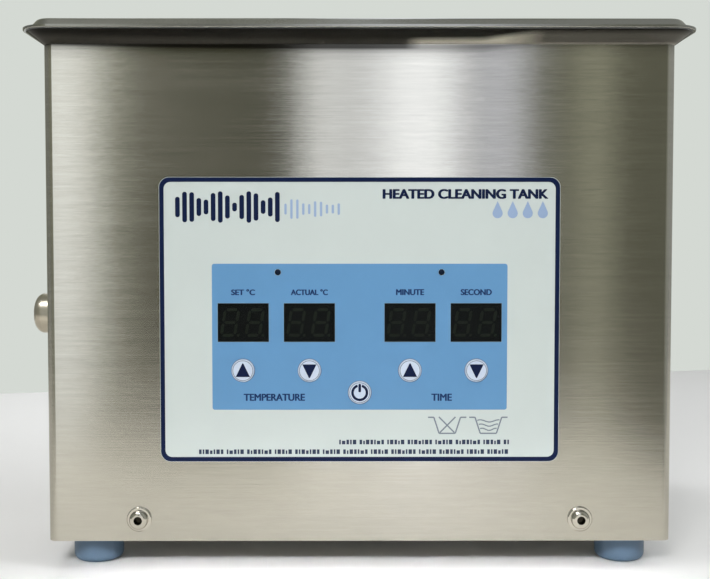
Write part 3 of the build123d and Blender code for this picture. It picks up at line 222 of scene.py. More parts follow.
def metal(name, colour, rough, sockets=None):
    """Plain turned or cast metal with faint stains, and painted shade inside its driving sockets where it
    has any.
    """
    t = new_tree(name)
    fine = t.noise(t.stretched((300, 300, 300)), detail=3.0)
    stain = t.noise(t.stretched((60, 60, 60)), detail=4.0)
    base = t.blend(t.remap(stain, 0, 1), shaded(colour, 0.88), shaded(colour, 1.06))
    if sockets:
        # painted shade: the driving sockets are filled with near-black colour
        base = t.blend(inside_sockets(t, *sockets), base, SOCKET_SHADE)
    return t.principled({
        "Base Color": base,
        "Metallic": 1.0,
        "Roughness": t.remap(fine, rough - 0.04, rough + 0.06),
        "Normal": t.bump(fine, 0.08, 0.00003),
    })


def laminated(name, colour):
    """Stacked transformer steel: thin dark seams across the stack."""
    t = new_tree(name)
    stripes = t.node(
        "ShaderNodeTexWave", {"Vector": t.stretched((1, 1, 1)), "Scale": 320.0}, bands_direction="Z"
    ).outputs["Fac"]
    return t.principled({
        "Base Color": t.blend(stripes, shaded(colour, 0.5), shaded(colour, 1.2)),
        "Metallic": 0.6,
        "Roughness": t.remap(t.noise(t.stretched((200, 200, 200))), 0.4, 0.6),
        "Normal": t.bump(stripes, 0.3, 0.0001),
    })


def wound(name, colour, direction="Y", scale=420.0):
    """Closely wound enamelled wire, or a flat cable's cores side by side."""
    t = new_tree(name)
    turns = t.node(
        "ShaderNodeTexWave", {"Vector": t.stretched((1, 1, 1)), "Scale": scale}, bands_direction=direction
    ).outputs["Fac"]
    return t.principled({
        "Base Color": t.blend(turns, shaded(colour, 0.45), shaded(colour, 1.1)),
        "Metallic": 0.85,
        "Roughness": 0.3,
        "Coat Weight": 0.4,
        "Normal": t.bump(turns, 0.5, 0.0003),
    })


# ------------------------------------------------------------------ plastics, films and boards
def plastic(name, colour, rough, grain=900, bump=0.15, mottle=0.06, coat=0.0, sheen=0.5):
    """Moulded plastic, rubber, film or ink with a fine texture and slight colour drift."""
    t = new_tree(name)
    fine = t.noise(t.stretched((grain, grain, grain)))
    drift = t.noise(t.stretched((45, 45, 45)), detail=3.0)
    return t.principled({
        "Base Color": t.blend(t.remap(drift, 0, 1), shaded(colour, 1 - mottle), shaded(colour, 1 + mottle)),
        "Roughness": t.remap(fine, rough - 0.04, rough + 0.05),
        "Specular IOR Level": sheen,
        "Coat Weight": coat,
        "Coat Roughness": 0.12,
        "Normal": t.bump(fine, bump, 0.00003),
    })


def ink(name, colour, rough=0.36, mottle=0.03, sheen=0.5):
    """Printed ink: smoother and more even than moulded plastic."""
    return plastic(f"ink_{name}", colour, rough, bump=0.02, mottle=mottle, sheen=sheen)


def tinted_film(name, tint, rough=0.12):
    """Thin dark film: what is behind it shows faintly, and its face is glossy."""
    t = new_tree(name)
    fine = t.noise(t.stretched((500, 500, 500)))
    clear = t.node("ShaderNodeBsdfTransparent", {"Color": tint}).outputs["BSDF"]
    gloss = t.node(
        "ShaderNodeBsdfGlossy",
        {"Color": (1, 1, 1, 1), "Roughness": t.remap(fine, rough - 0.02, rough + 0.03)},
    ).outputs["BSDF"]
    fresnel = t.node("ShaderNodeFresnel", {"IOR": 1.25}).outputs["Fac"]
    return t.surface(t.choice(fresnel, clear, gloss))


def board(name):
    """Green circuit board with a faint pattern of tracks and solder pads."""
    t = new_tree(name)
    vector = t.stretched((260, 260, 260))
    cells = t.node(
        "ShaderNodeTexVoronoi", {"Vector": vector, "Scale": 1.0}, distance="MANHATTAN"
    ).outputs["Distance"]
    tracks = t.remap(cells, 0, 1, 0.42, 0.46)
    green = t.blend(tracks, srgb(16, 84, 48), srgb(28, 112, 66))
    pads = t.remap(cells, 1, 0, 0.05, 0.08)
    return t.principled({
        "Base Color": t.blend(pads, green, srgb(190, 180, 150)),
        "Metallic": t.math("MULTIPLY", pads, 0.8),
        "Roughness": t.remap(t.noise(vector), 0.28, 0.42),
        "Normal": t.bump(tracks, 0.2, 0.00005),
    })


# ------------------------------------------------------------------ materials of the CAD nodes
casing_low, casing_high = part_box("casing")
STEEL = (0.53, 0.515, 0.468, 1.0)
FLAT_RIM_INSET = 8.6 * MM
SCREW_X, SCREW_UP, SOCKET_R = 109.5 * MM, 11.0 * MM, 2.1 * MM
materials = {
    "casing": brushed("casing_steel", STEEL, 0.15, lip=casing_high[2] - LIP_HEIGHT * MM),
    "tank": brushed(
        "tank_steel", (0.64, 0.64, 0.60, 1.0), 0.22, aniso=0.5, along=(30, 30, 30), grain=0.03,
        darker_past=(casing_high[0] - FLAT_RIM_INSET, casing_high[1] - FLAT_RIM_INSET),
    ),
    "base_tray": brushed("tray_steel", (0.52, 0.52, 0.50, 1.0), 0.38, aniso=0.7, along=(9, 900, 900)),
    "rim_seal": plastic("seal_rubber", srgb(150, 152, 152), 0.6),
    "panel_overlay": plastic("overlay_film", srgb(197, 206, 203), 0.36, grain=1400, bump=0.05, mottle=0.012),
    "display_windows": tinted_film("window_film", (0.31, 0.37, 0.36, 1.0), rough=0.34),
    "display_modules": plastic("module_plastic", srgb(64, 62, 54), 0.5),
    "control_board": board("control_board_laminate"),
    "generator_board": board("generator_board_laminate"),
    "control_board_spacers": metal("spacer_zinc", (0.62, 0.62, 0.60, 1.0), 0.3),
    "tact_switches": plastic("switch_plastic", srgb(34, 34, 34), 0.5),
    "indicator_leds": plastic("led_plastic", srgb(4, 20, 40), 0.5, bump=0.02, sheen=0.15),
    "ribbon_cable": wound("ribbon_plastic", srgb(150, 154, 165), direction="X", scale=250.0),
    "transducer_horns": metal("horn_aluminium", (0.72, 0.73, 0.74, 1.0), 0.32),
    "piezo_rings": plastic("ceramic", srgb(158, 152, 140), 0.55),
    "electrode_plates": metal("electrode_brass", (0.72, 0.50, 0.22, 1.0), 0.3),
    "transducer_back_masses": metal("back_mass_steel", (0.45, 0.45, 0.45, 1.0), 0.38),
    "heater_pads": plastic("pad_silicone", srgb(176, 76, 48), 0.55),
    "temperature_sensor": metal("sensor_brass", (0.66, 0.47, 0.21, 1.0), 0.34),
    "thermal_cutout": plastic("cutout_plastic", srgb(48, 42, 40), 0.45),
    "drain_nipple": metal("nipple_steel", (0.58, 0.57, 0.54, 1.0), 0.3),
    "drain_grommet": plastic("grommet_rubber", srgb(28, 28, 28), 0.6),
    "drain_valve_body": metal("valve_nickel", (0.60, 0.58, 0.53, 1.0), 0.28),
    "drain_valve_plug": metal("plug_brass", (0.70, 0.50, 0.23, 1.0), 0.3),
    "drain_seals": plastic("seal_black", srgb(24, 24, 24), 0.5),
    "drain_knob": brushed(
        "knob_metal", (0.56, 0.52, 0.44, 1.0), 0.30, aniso=0.5, along=(1500, 40, 40), tangent=(1, 0, 0)
    ),
    "transformer_core": laminated("core_steel", srgb(92, 92, 98)),
    "transformer_coil": wound("coil_copper", (0.62, 0.24, 0.09, 1.0)),
    "heat_sink": metal("sink_aluminium", (0.55, 0.56, 0.58, 1.0), 0.4),
    "power_transistors": plastic("chip_plastic", srgb(30, 30, 31), 0.42),
    "capacitors": plastic("can_sleeve", srgb(26, 32, 66), 0.25, bump=0.04, coat=0.3),
    "fan_frame": plastic("fan_plastic", srgb(30, 30, 32), 0.45),
    "fan_rotor": plastic("rotor_plastic", srgb(26, 26, 28), 0.4),
    "fan_guard": metal("guard_chrome", (0.70, 0.70, 0.70, 1.0), 0.12),
    "power_inlet": plastic("inlet_plastic", srgb(28, 28, 29), 0.42),
    "inlet_pins": metal("pin_nickel", (0.68, 0.64, 0.55, 1.0), 0.2),
    "fuse_drawer": plastic("drawer_plastic", srgb(32, 32, 33), 0.4),
    "fuse": tinted_film("fuse_glass", (0.85, 0.9, 0.9, 1.0), rough=0.06),
    "wiring": plastic("wire_plastic", srgb(150, 34, 28), 0.4),
}
# painted shade inside the driving sockets of the two low front screws
screw_steel = metal(
    "screw_steel", (0.56, 0.54, 0.49, 1.0), 0.14, sockets=((SCREW_X, casing_low[2] + SCREW_UP), SOCKET_R)
)
zinc = metal("zinc", (0.60, 0.61, 0.62, 1.0), 0.28)
foot_plastic = plastic("foot_plastic", srgb(91, 115, 139), 0.46, grain=700, mottle=0.05)
cap_plastic = plastic("cap_plastic", srgb(197, 209, 226), 0.3, grain=1400, bump=0.05, mottle=0.015, coat=0.2)


def material_for(name):
    """A node's own material, or the one it shares with others of its kind."""
    if name in materials:
        return materials[name]
    if name.startswith("foot_") and name not in ("foot_screws", "foot_nuts"):
        return foot_plastic
    if name.endswith("_button"):
        return cap_plastic
    if name in ("casing_screws", "casing_screw_washers", "drain_knob_screw"):
        return screw_steel
    return zinc


for name, node in nodes.items():
    node.data.materials.clear()
    node.data.materials.append(material_for(name))

# ------------------------------------------------------------------ the panel's measures
panel_low, panel_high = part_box("panel_overlay")
panel_x = (panel_low[0] + panel_high[0]) / 2
panel_z = (panel_low[2] + panel_high[2]) / 2
panel_face, front = panel_low[1], panel_high[1]
panel_w = (panel_high[0] - panel_low[0]) / MM
panel_h = (panel_high[2] - panel_low[2]) / MM


def centre(name):
    low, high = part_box(name)
    return (low[0] + high[0]) / 2, (low[2] + high[2]) / 2


def node_spots(name):
    """Centres of the solids that stand side by side in a node, in millimetres from the panel's centre."""
    mesh = nodes[name].data
    spans = []
    for face in mesh.polygons:
        xs = [mesh.vertices[k].co.x for k in face.vertices]
        spans.append([min(xs), max(xs)])
    groups = []
    for start, end in sorted(spans):
        if groups and start <= groups[-1][1] + 0.5 * MM:
            groups[-1][1] = max(groups[-1][1], end)
        else:
            groups.append([start, end])
    z = centre(name)[1]
    return [((a + b) / 2 / MM - panel_x / MM, (z - panel_z) / MM) for a, b in groups]


windows = node_spots("display_windows")
leds = node_spots("indicator_leds")
window_low, window_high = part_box("display_windows")
window_w = (window_high[0] - window_low[0]) / MM - (windows[-1][0] - windows[0][0])
window_h = (window_high[2] - window_low[2]) / MM
buttons = {
    "temp_up": "temp_up_key",
    "temp_down": "temp_down_key",
    "time_up": "time_up_key",
    "time_down": "time_down_key",
    "power": "power_key",
}
spots = {}
for key in buttons:
    x, z = centre(f"{key}_button")
    spots[key] = ((x - panel_x) / MM, (z - panel_z) / MM)


# ------------------------------------------------------------------ outlines, in millimetres
def ring_points(x, z, radius, count=40, start=0.0, end=360.0):
    """Points on a circle, or on an arc with both of its ends."""
    steps = count if end - start >= 360 else count + 1
    angles = [math.radians(start + (end - start) * k / count) for k in range(steps)]
    return [(x + radius * math.cos(angle), z + radius * math.sin(angle)) for angle in angles]


def rounded(x, z, width, height, radius, steps=8):
    """Outline of a rounded rectangle about a centre."""
    points = []
    for turn, (i, j) in enumerate(((1, 1), (-1, 1), (-1, -1), (1, -1))):
        cx, cz = x + i * (width / 2 - radius), z + j * (height / 2 - radius)
        points += ring_points(cx, cz, radius, steps, 90 * turn, 90 * turn + 90)
    return points


def box_points(x, z, width, height):
    w, h = width / 2, height / 2
    return [(x - w, z - h), (x + w, z - h), (x + w, z + h), (x - w, z + h)]


def stroke(points, width):
    """A line of even thickness, as one patch per straight run."""
    out = []
    for (x0, z0), (x1, z1) in zip(points, points[1:]):
        length = math.hypot(x1 - x0, z1 - z0)
        nx, nz = -(z1 - z0) / length * width / 2, (x1 - x0) / length * width / 2
        out.append([(x0 + nx, z0 + nz), (x0 - nx, z0 - nz), (x1 - nx, z1 - nz), (x1 + nx, z1 + nz)])
    return out


# ------------------------------------------------------------------ flat printed pieces
LAYER_STEP = 0.003
LETTER_LIFT = 0.04
CAPITAL_TO_SIZE = 1.38


def curve_mesh(name, curve):
    """The flat mesh that a filled curve or a line of text makes."""
    source = bpy.data.objects.new(name + "_source", curve)
    bpy.context.scene.collection.objects.link(source)
    bpy.context.view_layer.update()
    mesh = bpy.data.meshes.new_from_object(source)
    bpy.data.objects.remove(source)
    return mesh


def print_mesh(name, mesh, material, lift, face, body, origin):
    """Stand a flat mesh a hair in front of a face that looks towards -Y, riding on a body."""
    obj = bpy.data.objects.new(name, mesh)
    x, z = origin or (panel_x, panel_z)
    obj.location = (x, (panel_face if face is None else face) - lift * MM, z)
    obj.rotation_euler = (math.pi / 2, 0, 0)
    mesh.materials.append(material)
    bpy.context.scene.collection.objects.link(obj)
    bpy.context.view_layer.update()
    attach(obj, body)


def filled(name, outlines, material, lift=0.03, face=None, body="unit", origin=None):
    """A flat shape with holes."""
    curve = bpy.data.curves.new(name, "CURVE")
    curve.dimensions = "2D"
    curve.fill_mode = "BOTH"
    for points in outlines:
        spline = curve.splines.new("POLY")
        spline.points.add(len(points) - 1)
        for point, (x, z) in zip(spline.points, points):
            point.co = (x * MM, z * MM, 0, 1)
        spline.use_cyclic_u = True
    mesh = curve_mesh(name, curve)
    mesh.name = name
    mesh.materials.clear()
    print_mesh(name, mesh, material, lift, face, body, origin)


def patches(name, polygons, material, lift=0.03, face=None, body="unit", origin=None, layers=1):
    """Flat patches, in layers that stand a hair apart."""
    verts, faces = [], []
    for k, points in enumerate(polygons):
        out = LAYER_STEP * MM * (k * layers // len(polygons))
        faces.append(list(range(len(verts), len(verts) + len(points))))
        verts += [(x * MM, z * MM, out) for x, z in points]
    mesh = bpy.data.meshes.new(name)
    mesh.from_pydata(verts, [], faces)
    mesh.update()
    print_mesh(name, mesh, material, lift, face, body, origin)


def lettering(name, words, x, z, width, height, material, bold):
    """Plain built-in lettering, fitted to a width and a capital height, and thickened by shifted copies."""
    curve = bpy.data.curves.new(name, "FONT")
    curve.body = words
    curve.align_x = "CENTER"
    curve.align_y = "CENTER"
    curve.size = height * MM * CAPITAL_TO_SIZE
    mesh = curve_mesh(name, curve)
    xs = [v.co.x for v in mesh.vertices]
    ys = [v.co.y for v in mesh.vertices]
    sx = width * MM / (max(xs) - min(xs))
    sy = height * MM / (max(ys) - min(ys))
    mid_x, mid_y = (max(xs) + min(xs)) / 2, (max(ys) + min(ys)) / 2
    points = [((v.co.x - mid_x) * sx / MM + x, (v.co.y - mid_y) * sy / MM + z) for v in mesh.vertices]
    shifts = ((0, 0), (-1, 0), (1, 0), (-0.6, 0.4), (0.6, 0.4), (-0.6, -0.4), (0.6, -0.4))
    outlines = [
        [(points[k][0] + dx * bold, points[k][1] + dz * bold) for k in f.vertices]
        for dx, dz in shifts
        for f in mesh.polygons
    ]
    bpy.data.meshes.remove(mesh)
    patches(name, outlines, material, lift=LETTER_LIFT, layers=len(shifts))


# ------------------------------------------------------------------ inks
navy = ink("navy", srgb(8, 23, 58), 0.45, sheen=0.15)
field_blue = ink("field_blue", srgb(93, 143, 186), mottle=0.02)
label_blue = ink("label_blue", srgb(14, 42, 88), 0.45, sheen=0.2)
pale_blue = ink("pale_blue", srgb(146, 168, 200))
# grey for the painted shade in the gap round each button cap
gap_shade_grey = ink("gap_shade_grey", srgb(104, 118, 146))
# grey for the printed pictograms, and for the painted shade round the edge of each button cap's face
pictogram_and_cap_shade_grey = ink("pictogram_and_cap_shade_grey", srgb(112, 122, 134))
slate = ink("slate", srgb(44, 56, 80), 0.45, sheen=0.2)
segment_grey = plastic("segment_grey", srgb(214, 196, 160), 0.5, bump=0.02, mottle=0.03)

# ------------------------------------------------------------------ border, blue field, and painted shade round the button holes
BORDER, INSET = 2.2, 0.15
border_w, border_h = panel_w - 2 * INSET, panel_h - 2 * INSET
outer_edge = rounded(0, 0, border_w, border_h, 4.9)
inner_edge = rounded(0, 0, border_w - 2 * BORDER, border_h - 2 * BORDER, 3.4)
filled("panel_border", [outer_edge, inner_edge], navy)

FIELD_W, FIELD_H, FIELD_Z = 145.5, 72.2, -8.3
BUTTON_HOLE_R, BUTTON_RING_R, LED_HOLE_R = 5.62, 5.95, 1.62
filled(
    "panel_field",
    [rounded(0, FIELD_Z, FIELD_W, FIELD_H, 1.2)]
    + [box_points(x, z, window_w + 0.1, window_h + 0.1) for x, z in windows]
    + [ring_points(x, z, BUTTON_HOLE_R, 48) for x, z in spots.values()]
    + [ring_points(x, z, LED_HOLE_R, 24) for x, z in leds],
    field_blue,
)
# painted shade: a grey ring on the overlay round each button hole stands in for the shade in the gap round
# its cap
for key, (x, z) in spots.items():
    ring = [ring_points(x, z, BUTTON_RING_R, 48), ring_points(x, z, BUTTON_HOLE_R, 48)]
    filled(f"{key}_ring", ring, gap_shade_grey, lift=0.05)

# ------------------------------------------------------------------ captions
CAPTION_Z, CAPTION_H = 13.8, 2.8
GROUP_Z, GROUP_H = -38.2, 3.4
for name, words, (x, _), width in (
    ("caption_set", "SET °C", windows[0], 11.4),
    ("caption_actual", "ACTUAL °C", windows[1], 17.9),
    ("caption_minute", "MINUTE", windows[2], 13.5),
    ("caption_second", "SECOND", windows[3], 15.0),
):
    lettering(name, words, x, CAPTION_Z, width, CAPTION_H, label_blue, bold=0.2)
lettering("caption_temperature", "TEMPERATURE", -42.2, GROUP_Z, 29.9, GROUP_H, label_blue, bold=0.2)
lettering("caption_time", "TIME", 40.5, GROUP_Z, 9.8, GROUP_H, label_blue, bold=0.2)
lettering("caption_kind", "HEATED CLEANING TANK", 51.9, 62.0, 80.6, 4.5, navy, bold=0.4)


# ------------------------------------------------------------------ emblem: a pulse of upright bars
def bar_row(count, x, z, pitch, width, radius, height):
    """Upright bars side by side, each as tall as height says for its number."""
    return [rounded(x + pitch * k, z, width, height(k), radius, 4) for k in range(count)]


def strong_pulse(k):
    return 4.0 + 11.5 * abs(math.sin(k * 0.72 + 0.55))


def fading_pulse(k):
    return 3.0 + 8.0 * abs(math.sin(k * 0.8 + 0.3)) * (1 - k / 14)


patches("emblem_bars", bar_row(15, -89.4, 55.6, 3.5, 2.3, 1.1, strong_pulse), navy)
patches("emblem_thin_bars", bar_row(10, -36.4, 54.6, 2.9, 1.2, 0.6, fading_pulse), pale_blue)


def drop_points(x, z, radius, rise):
    """Outline of a water drop: a round belly with a point above it."""
    return [(x, z + rise)] + ring_points(x, z, radius, 24, 150, 390)


DROP_X, DROP_Z, DROP_PITCH, DROP_R, DROP_RISE = 67.7, 52.6, 7.4, 2.5, 6.0
drops = [drop_points(DROP_X + DROP_PITCH * k, DROP_Z, DROP_R, DROP_RISE) for k in range(4)]
patches("drop_row", drops, pale_blue)

# ------------------------------------------------------------------ rows of dashes in place of small print
PRINT_H, TALL_DASH, LOW_DASH = 2.5, 0.92, 0.72
DASH_W, DASH_STEP = 0.8, 0.45
DASH_GAP, WORD_GAP = 0.55, 1.1


def fine_print(x, z, width, seed):
    """Word-like groups of upright dashes of a few widths and two heights."""
    left, right, out, k = x - width / 2, x + width / 2, [], seed
    while left < right - 2:
        for _ in range(2 + (k * 7) % 6):
            w = DASH_W + DASH_STEP * ((k * 5) % 3)
            if left + w > right:
                break
            tall = PRINT_H * (TALL_DASH if (k * 3) % 4 else LOW_DASH)
            out.append(box_points(left + w / 2, z - (PRINT_H - tall) / 2, w, tall))
            left += w + DASH_GAP
            k += 1
        left += WORD_GAP
        k += 3
    return out


patches("fine_print_rows", fine_print(33.0, -60.4, 86.3, 3) + fine_print(-2.2, -65.2, 154.7, 5), slate)

# ------------------------------------------------------------------ two small tank pictograms
SIGN_Z, SIGN_LINE, WAVE_LINE = -52.2, 0.7, 0.6
EMPTY_X, FULL_X = 43.3, 63.7
WAVE_RISE, WAVE_STEPS = 0.55, 16


def tank_outline(x, z):
    """A tank in section: two rims, two sloping walls and a floor."""
    half = [(4.0, -4), (6.6, 4), (9.5, 4)]
    return [(x - a, z + b) for a, b in reversed(half)] + [(x + a, z + b) for a, b in half]


def wave(x, z, width):
    """A wavy line a little over one wave long."""
    steps = [k / WAVE_STEPS for k in range(WAVE_STEPS + 1)]
    return [(x + width * (s - 0.5), z + WAVE_RISE * math.sin(2.4 * math.pi * s + 0.6)) for s in steps]


signs = stroke(tank_outline(EMPTY_X, SIGN_Z), SIGN_LINE) + stroke(tank_outline(FULL_X, SIGN_Z), SIGN_LINE)
signs += stroke([(EMPTY_X - 3.6, SIGN_Z - 3.6), (EMPTY_X + 4.1, SIGN_Z + 4.2)], SIGN_LINE)
signs += stroke([(EMPTY_X - 4.1, SIGN_Z + 4.2), (EMPTY_X + 3.6, SIGN_Z - 3.6)], SIGN_LINE)
for k, width in enumerate((11.0, 9.6, 8.2)):
    signs += stroke(wave(FULL_X, SIGN_Z + 2.2 - 2.1 * k, width), WAVE_LINE)
patches("pictograms", signs, pictogram_and_cap_shade_grey)

# ------------------------------------------------------------------ prints on the moving buttons, and painted shade round the edge of each cap's face
CAP_RING_R, CAP_HOLE_R = 5.08, 4.75
ICON_OUT_R, ICON_IN_R, ICON_STEPS, ICON_GAP = 4.2, 2.95, 36, 17


def power_icon():
    """A ring open at the top, with an upright bar in its gap."""
    outer, inner = (
        ring_points(0, 0, radius, ICON_STEPS, 90 + ICON_GAP, 450 - ICON_GAP)
        for radius in (ICON_OUT_R, ICON_IN_R)
    )
    ring = [[outer[k], inner[k], inner[k + 1], outer[k + 1]] for k in range(ICON_STEPS)]
    return ring + [rounded(0, 2.3, 1.3, 4.2, 0.6, 4)]


def arrow_icon(way):
    """A filled triangle that points up (way 1) or down (way -1)."""
    return [[(-3.5, -3.1 * way), (3.5, -3.1 * way), (0.25, 3.6 * way), (-0.25, 3.6 * way)]]


for key, body in buttons.items():
    place = {"face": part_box(f"{key}_button")[0][1], "body": body, "origin": centre(f"{key}_button")}
    # painted shade: a grey ring round the edge of each cap's face, where the cap rounds off into its gap
    ring = [ring_points(0, 0, CAP_RING_R, 48), ring_points(0, 0, CAP_HOLE_R, 48)]
    filled(f"{key}_edge_shade_ring", ring, pictogram_and_cap_shade_grey, **place)
    icon = power_icon() if key == "power" else arrow_icon(1 if key.endswith("up") else -1)
    patches(f"{key}_icon", icon, navy, **place)

# ------------------------------------------------------------------ display segments behind the film
SEGMENT_LINE, DIGIT_W, DIGIT_H = 1.5, 6.6, 12.6
SEGMENT_GAP, SLANT = 0.8, math.tan(math.radians(9))
POINT_OUT, POINT_R = 1.7, 0.75


def segment(x, z, length, upright):
    """One bar of a digit, pointed at both ends."""
    half, t = length / 2, SEGMENT_LINE / 2
    shape = [(-half, 0), (-half + t, t), (half - t, t), (half, 0), (half - t, -t), (-half + t, -t)]
    if upright:
        shape = [(b, a) for a, b in shape]
    return [(x + a, z + b) for a, b in shape]


def digit(x, z):
    """Seven bars and a point, leaning to the right."""
    w, q = DIGIT_W / 2, DIGIT_H / 2
    parts = [segment(x, z + k * q, DIGIT_W - SEGMENT_GAP, False) for k in (-1, 0, 1)]
    parts += [segment(x + i * w, z + j * q / 2, q - SEGMENT_GAP, True) for i in (-1, 1) for j in (-1, 1)]
    parts.append(ring_points(x + w + POINT_OUT, z - q, POINT_R, 12))
    return [[(a + (b - z) * SLANT, b) for a, b in part] for part in parts]


LEFT_DIGIT, RIGHT_DIGIT = -6.6, 5.6
segments = []
for x, z in windows:
    segments += digit(x + LEFT_DIGIT, z) + digit(x + RIGHT_DIGIT, z)
patches("display_segments", segments, segment_grey, lift=0.04, face=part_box("display_modules")[0][1])

# ------------------------------------------------------------------ floor
FLOOR_EDGE, FLOOR_THICK = 1.3, 0.03


def floor_finish():
    """Plain pale matt floor, a little warmer in reflections."""
    t = new_tree("floor_finish")
    seen_in_metal = t.node("ShaderNodeLightPath").outputs["Is Glossy Ray"]
    base = t.blend(seen_in_metal, srgb(242, 242, 242), srgb(236, 232, 223))
    cloud = t.noise(t.stretched((3, 3, 3)), detail=3.0)
    grain = t.noise(t.stretched((300, 300, 300)))
    return t.principled({
        "Base Color": t.blend(t.remap(cloud, 0, 0.04), base, srgb(190, 190, 188)),
        "Roughness": t.remap(grain, 0.45, 0.60),
        "Normal": t.bump(grain, 0.04, 0.0002),
    })


def stage_slab(name, outline, material):
    """A flat slab with its top at floor level and an outline seen from above."""
    count = len(outline)
    verts = [(x, y, z) for z in (-FLOOR_THICK, 0.0) for x, y in outline]
    faces = [tuple(reversed(range(count))), tuple(range(count, 2 * count))]
    for k in range(count):
        after = (k + 1) % count
        faces.append((k, after, count + after, count + k))
    mesh = bpy.data.meshes.new(name)
    mesh.from_pydata(verts, [], faces)
    mesh.materials.append(material)
    obj = bpy.data.objects.new(name, mesh)
    bpy.context.scene.collection.objects.link(obj)
    return obj


# the steel mirrors the floor, all but its front right corner, where it mirrors the room
floor_front = front - 0.37
corner = [(0.200, floor_front), (0.235, front - 0.19), (FLOOR_EDGE, front - 0.19)]
floor_back = [(FLOOR_EDGE, front + 1.035), (-FLOOR_EDGE, front + 0.385)]
floor_pale = floor_finish()
stage_slab("floor", [(-FLOOR_EDGE, floor_front), *corner, *floor_back], floor_pale)
floor_corner = stage_slab("floor_corner", [(FLOOR_EDGE, floor_front), *reversed(corner)], floor_pale)
floor_corner.visible_glossy = False


# ------------------------------------------------------------------ lights
def area_light(name, spot, aim, size, power, colour=(1, 1, 1), shiny=True, matt=True, spread=180):
    """A soft panel of light, which can be left out of reflections (shiny) or of plain shading (matt)."""
    data = bpy.data.lights.new(name, "AREA")
    data.shape = "RECTANGLE"
    data.size, data.size_y = size
    data.energy = power
    data.color = colour
    data.spread = math.radians(spread)
    obj = bpy.data.objects.new(name, data)
    obj.location = spot
    obj.rotation_euler = (Vector(aim) - Vector(spot)).to_track_quat("-Z", "Y").to_euler()
    obj.visible_glossy = shiny
    obj.visible_diffuse = matt
    bpy.context.scene.collection.objects.link(obj)


UNIT_MIDDLE = (0, 0, 0.1)
area_light("key", (-0.5, -0.9, 1.5), UNIT_MIDDLE, (0.8, 0.5), 16, (1.0, 0.99, 0.97), matt=False)
area_light("window", (-0.3, -1.28, 0.93), UNIT_MIDDLE, (0.5, 0.25), 12, (1.0, 0.99, 0.98), shiny=False)
area_light("fill", (0.9, -0.2, 1.1), UNIT_MIDDLE, (0.8, 0.8), 6, (0.97, 0.99, 1.0), shiny=False)

# a pool of light on the floor in front, and a low beam under the casing's front edge
area_light(
    "pool", (0.03, front - 0.10, 0.60), (0.03, front - 0.26, 0), (0.12, 0.15), 0.42, shiny=False, spread=70
)
area_light(
    "skirt", (0, front - 0.64, 0.46), (0, front - 0.02, 0), (0.27, 0.08), 0.062, shiny=False, spread=7
)

# two lamps over the floor behind, one at each side
BESIDE, BEHIND, LAMP_HEIGHT = 0.36, 0.4, 0.9
for side, power in ((-1, 3.0), (1, 0.8)):
    spot, aim = (BESIDE * side, BEHIND, LAMP_HEIGHT), (BESIDE * side, BEHIND, 0)
    area_light(f"floor_light_{side}", spot, aim, (0.4, 0.4), power, shiny=False)

# ------------------------------------------------------------------ room
# bands of light and shade in the room round the unit, as the steel mirrors them:
# degrees from straight ahead, brightness, warmth
BANDS = (
    (-90, 0.24, 0.02),
    (-64, 0.23, 0.05),
    (-30, 0.24, 0.10),
    (-20, 0.36, 0.08),
    (-17.4, 0.90, -0.01),
    (-15.4, 1.52, -0.02),
    (-14.5, 0.95, 0.00),
    (-13.9, 0.58, 0.05),
    (-12.9, 0.20, 0.12),
    (-11.6, 0.10, 0.14),
    (-6.0, 0.09, 0.14),
    (-3.0, 0.08, 0.14),
    (-2.5, 1.34, -0.03),
    (-0.8, 1.00, -0.04),
    (0.7, 0.86, -0.04),
    (1.9, 1.35, -0.05),
    (3.2, 1.62, -0.05),
    (4.9, 1.65, -0.05),
    (6.0, 1.05, -0.05),
    (6.9, 0.56, -0.06),
    (7.5, 0.52, -0.07),
    (8.5, 1.15, -0.09),
    (9.7, 0.40, 0.00),
    (10.9, 0.14, 0.12),
    (12.4, 0.17, 0.13),
    (13.5, 0.60, 0.09),
    (14.5, 0.10, 0.13),
    (17.0, 0.15, 0.11),
    (40.0, 0.36, 0.03),
    (90.0, 0.36, 0.00),
)
BAND_STRENGTH = 1.13
DIM_PER_DROP, DIM_LEAST = 2.0, 0.75
SOFT_STRENGTH = 0.41


def band_colour(level, warmth):
    return (level * (1 + 0.4 * warmth), level * (1.03 + 0.3 * warmth), level * (1 - 1.8 * warmth), 1)


def plain_light(t, colour, strength):
    return t.node("ShaderNodeBackground", {"Color": colour, "Strength": strength}).outputs["Background"]


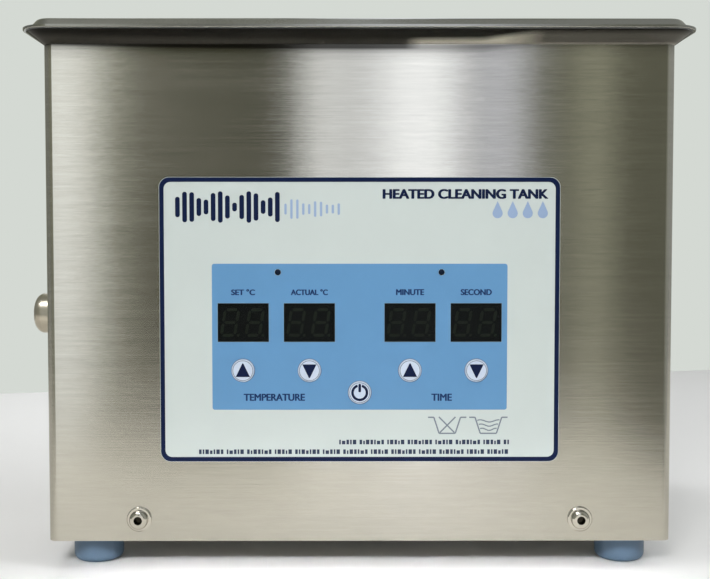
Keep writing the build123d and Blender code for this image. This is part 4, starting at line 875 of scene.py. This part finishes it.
def band_shader(t):
    """The upright bands, a little dimmer below eye level, the same in front of the unit and behind it."""
    axes = t.node("ShaderNodeSeparateXYZ", {"Vector": t.coord.outputs["Generated"]}).outputs
    bearing = t.math("ARCTAN2", axes["X"], t.math("ABSOLUTE", axes["Y"]))
    ramp = t.node("ShaderNodeValToRGB", {"Fac": t.math("ADD", t.math("DIVIDE", bearing, math.pi), 0.5)})
    elements = ramp.color_ramp.elements
    while len(elements) < len(BANDS):
        elements.new(1.0)
    for element, (degrees, level, warmth) in zip(elements, BANDS):
        element.position = degrees / 180 + 0.5
        element.color = band_colour(level, warmth)
    dimming = t.math("ADD", t.math("MULTIPLY", axes["Z"], DIM_PER_DROP), 1.0)
    dimming = t.math("MAXIMUM", t.math("MINIMUM", dimming, 1.0), DIM_LEAST)
    strength = t.math("MULTIPLY", dimming, BAND_STRENGTH)
    return plain_light(t, ramp.outputs["Color"], strength)


def room_light():
    """A plain pale wall for the camera, the bands for reflections, and soft light for everything else."""
    t = Tree(bpy.data.worlds.new("room"), "ShaderNodeOutputWorld")
    rays = t.node("ShaderNodeLightPath").outputs
    wall = plain_light(t, srgb(212, 217, 211), 1.0)
    soft = plain_light(t, srgb(214, 216, 214), SOFT_STRENGTH)
    lit = t.choice(rays["Is Glossy Ray"], soft, band_shader(t))
    return t.surface(t.choice(rays["Is Camera Ray"], lit, wall))


bpy.context.scene.world = room_light()
bpy.context.scene.view_settings.view_transform = "Standard"
bpy.context.scene.view_settings.look = "None"

# ------------------------------------------------------------------ camera
CAMERA_AWAY, CAMERA_UP, CAMERA_SIDE = 0.505, 0.146, -0.004
camera = bpy.data.objects.new("camera", bpy.data.cameras.new("camera"))
camera.data.sensor_width = 36
camera.data.lens = 52.0
camera.data.clip_start = 0.02
camera.location = (CAMERA_SIDE, front - CAMERA_AWAY, casing_low[2] + CAMERA_UP)
camera.rotation_euler = (math.radians(87.64), 0, math.radians(-0.19))
bpy.context.scene.collection.objects.link(camera)
bpy.context.scene.camera = camera
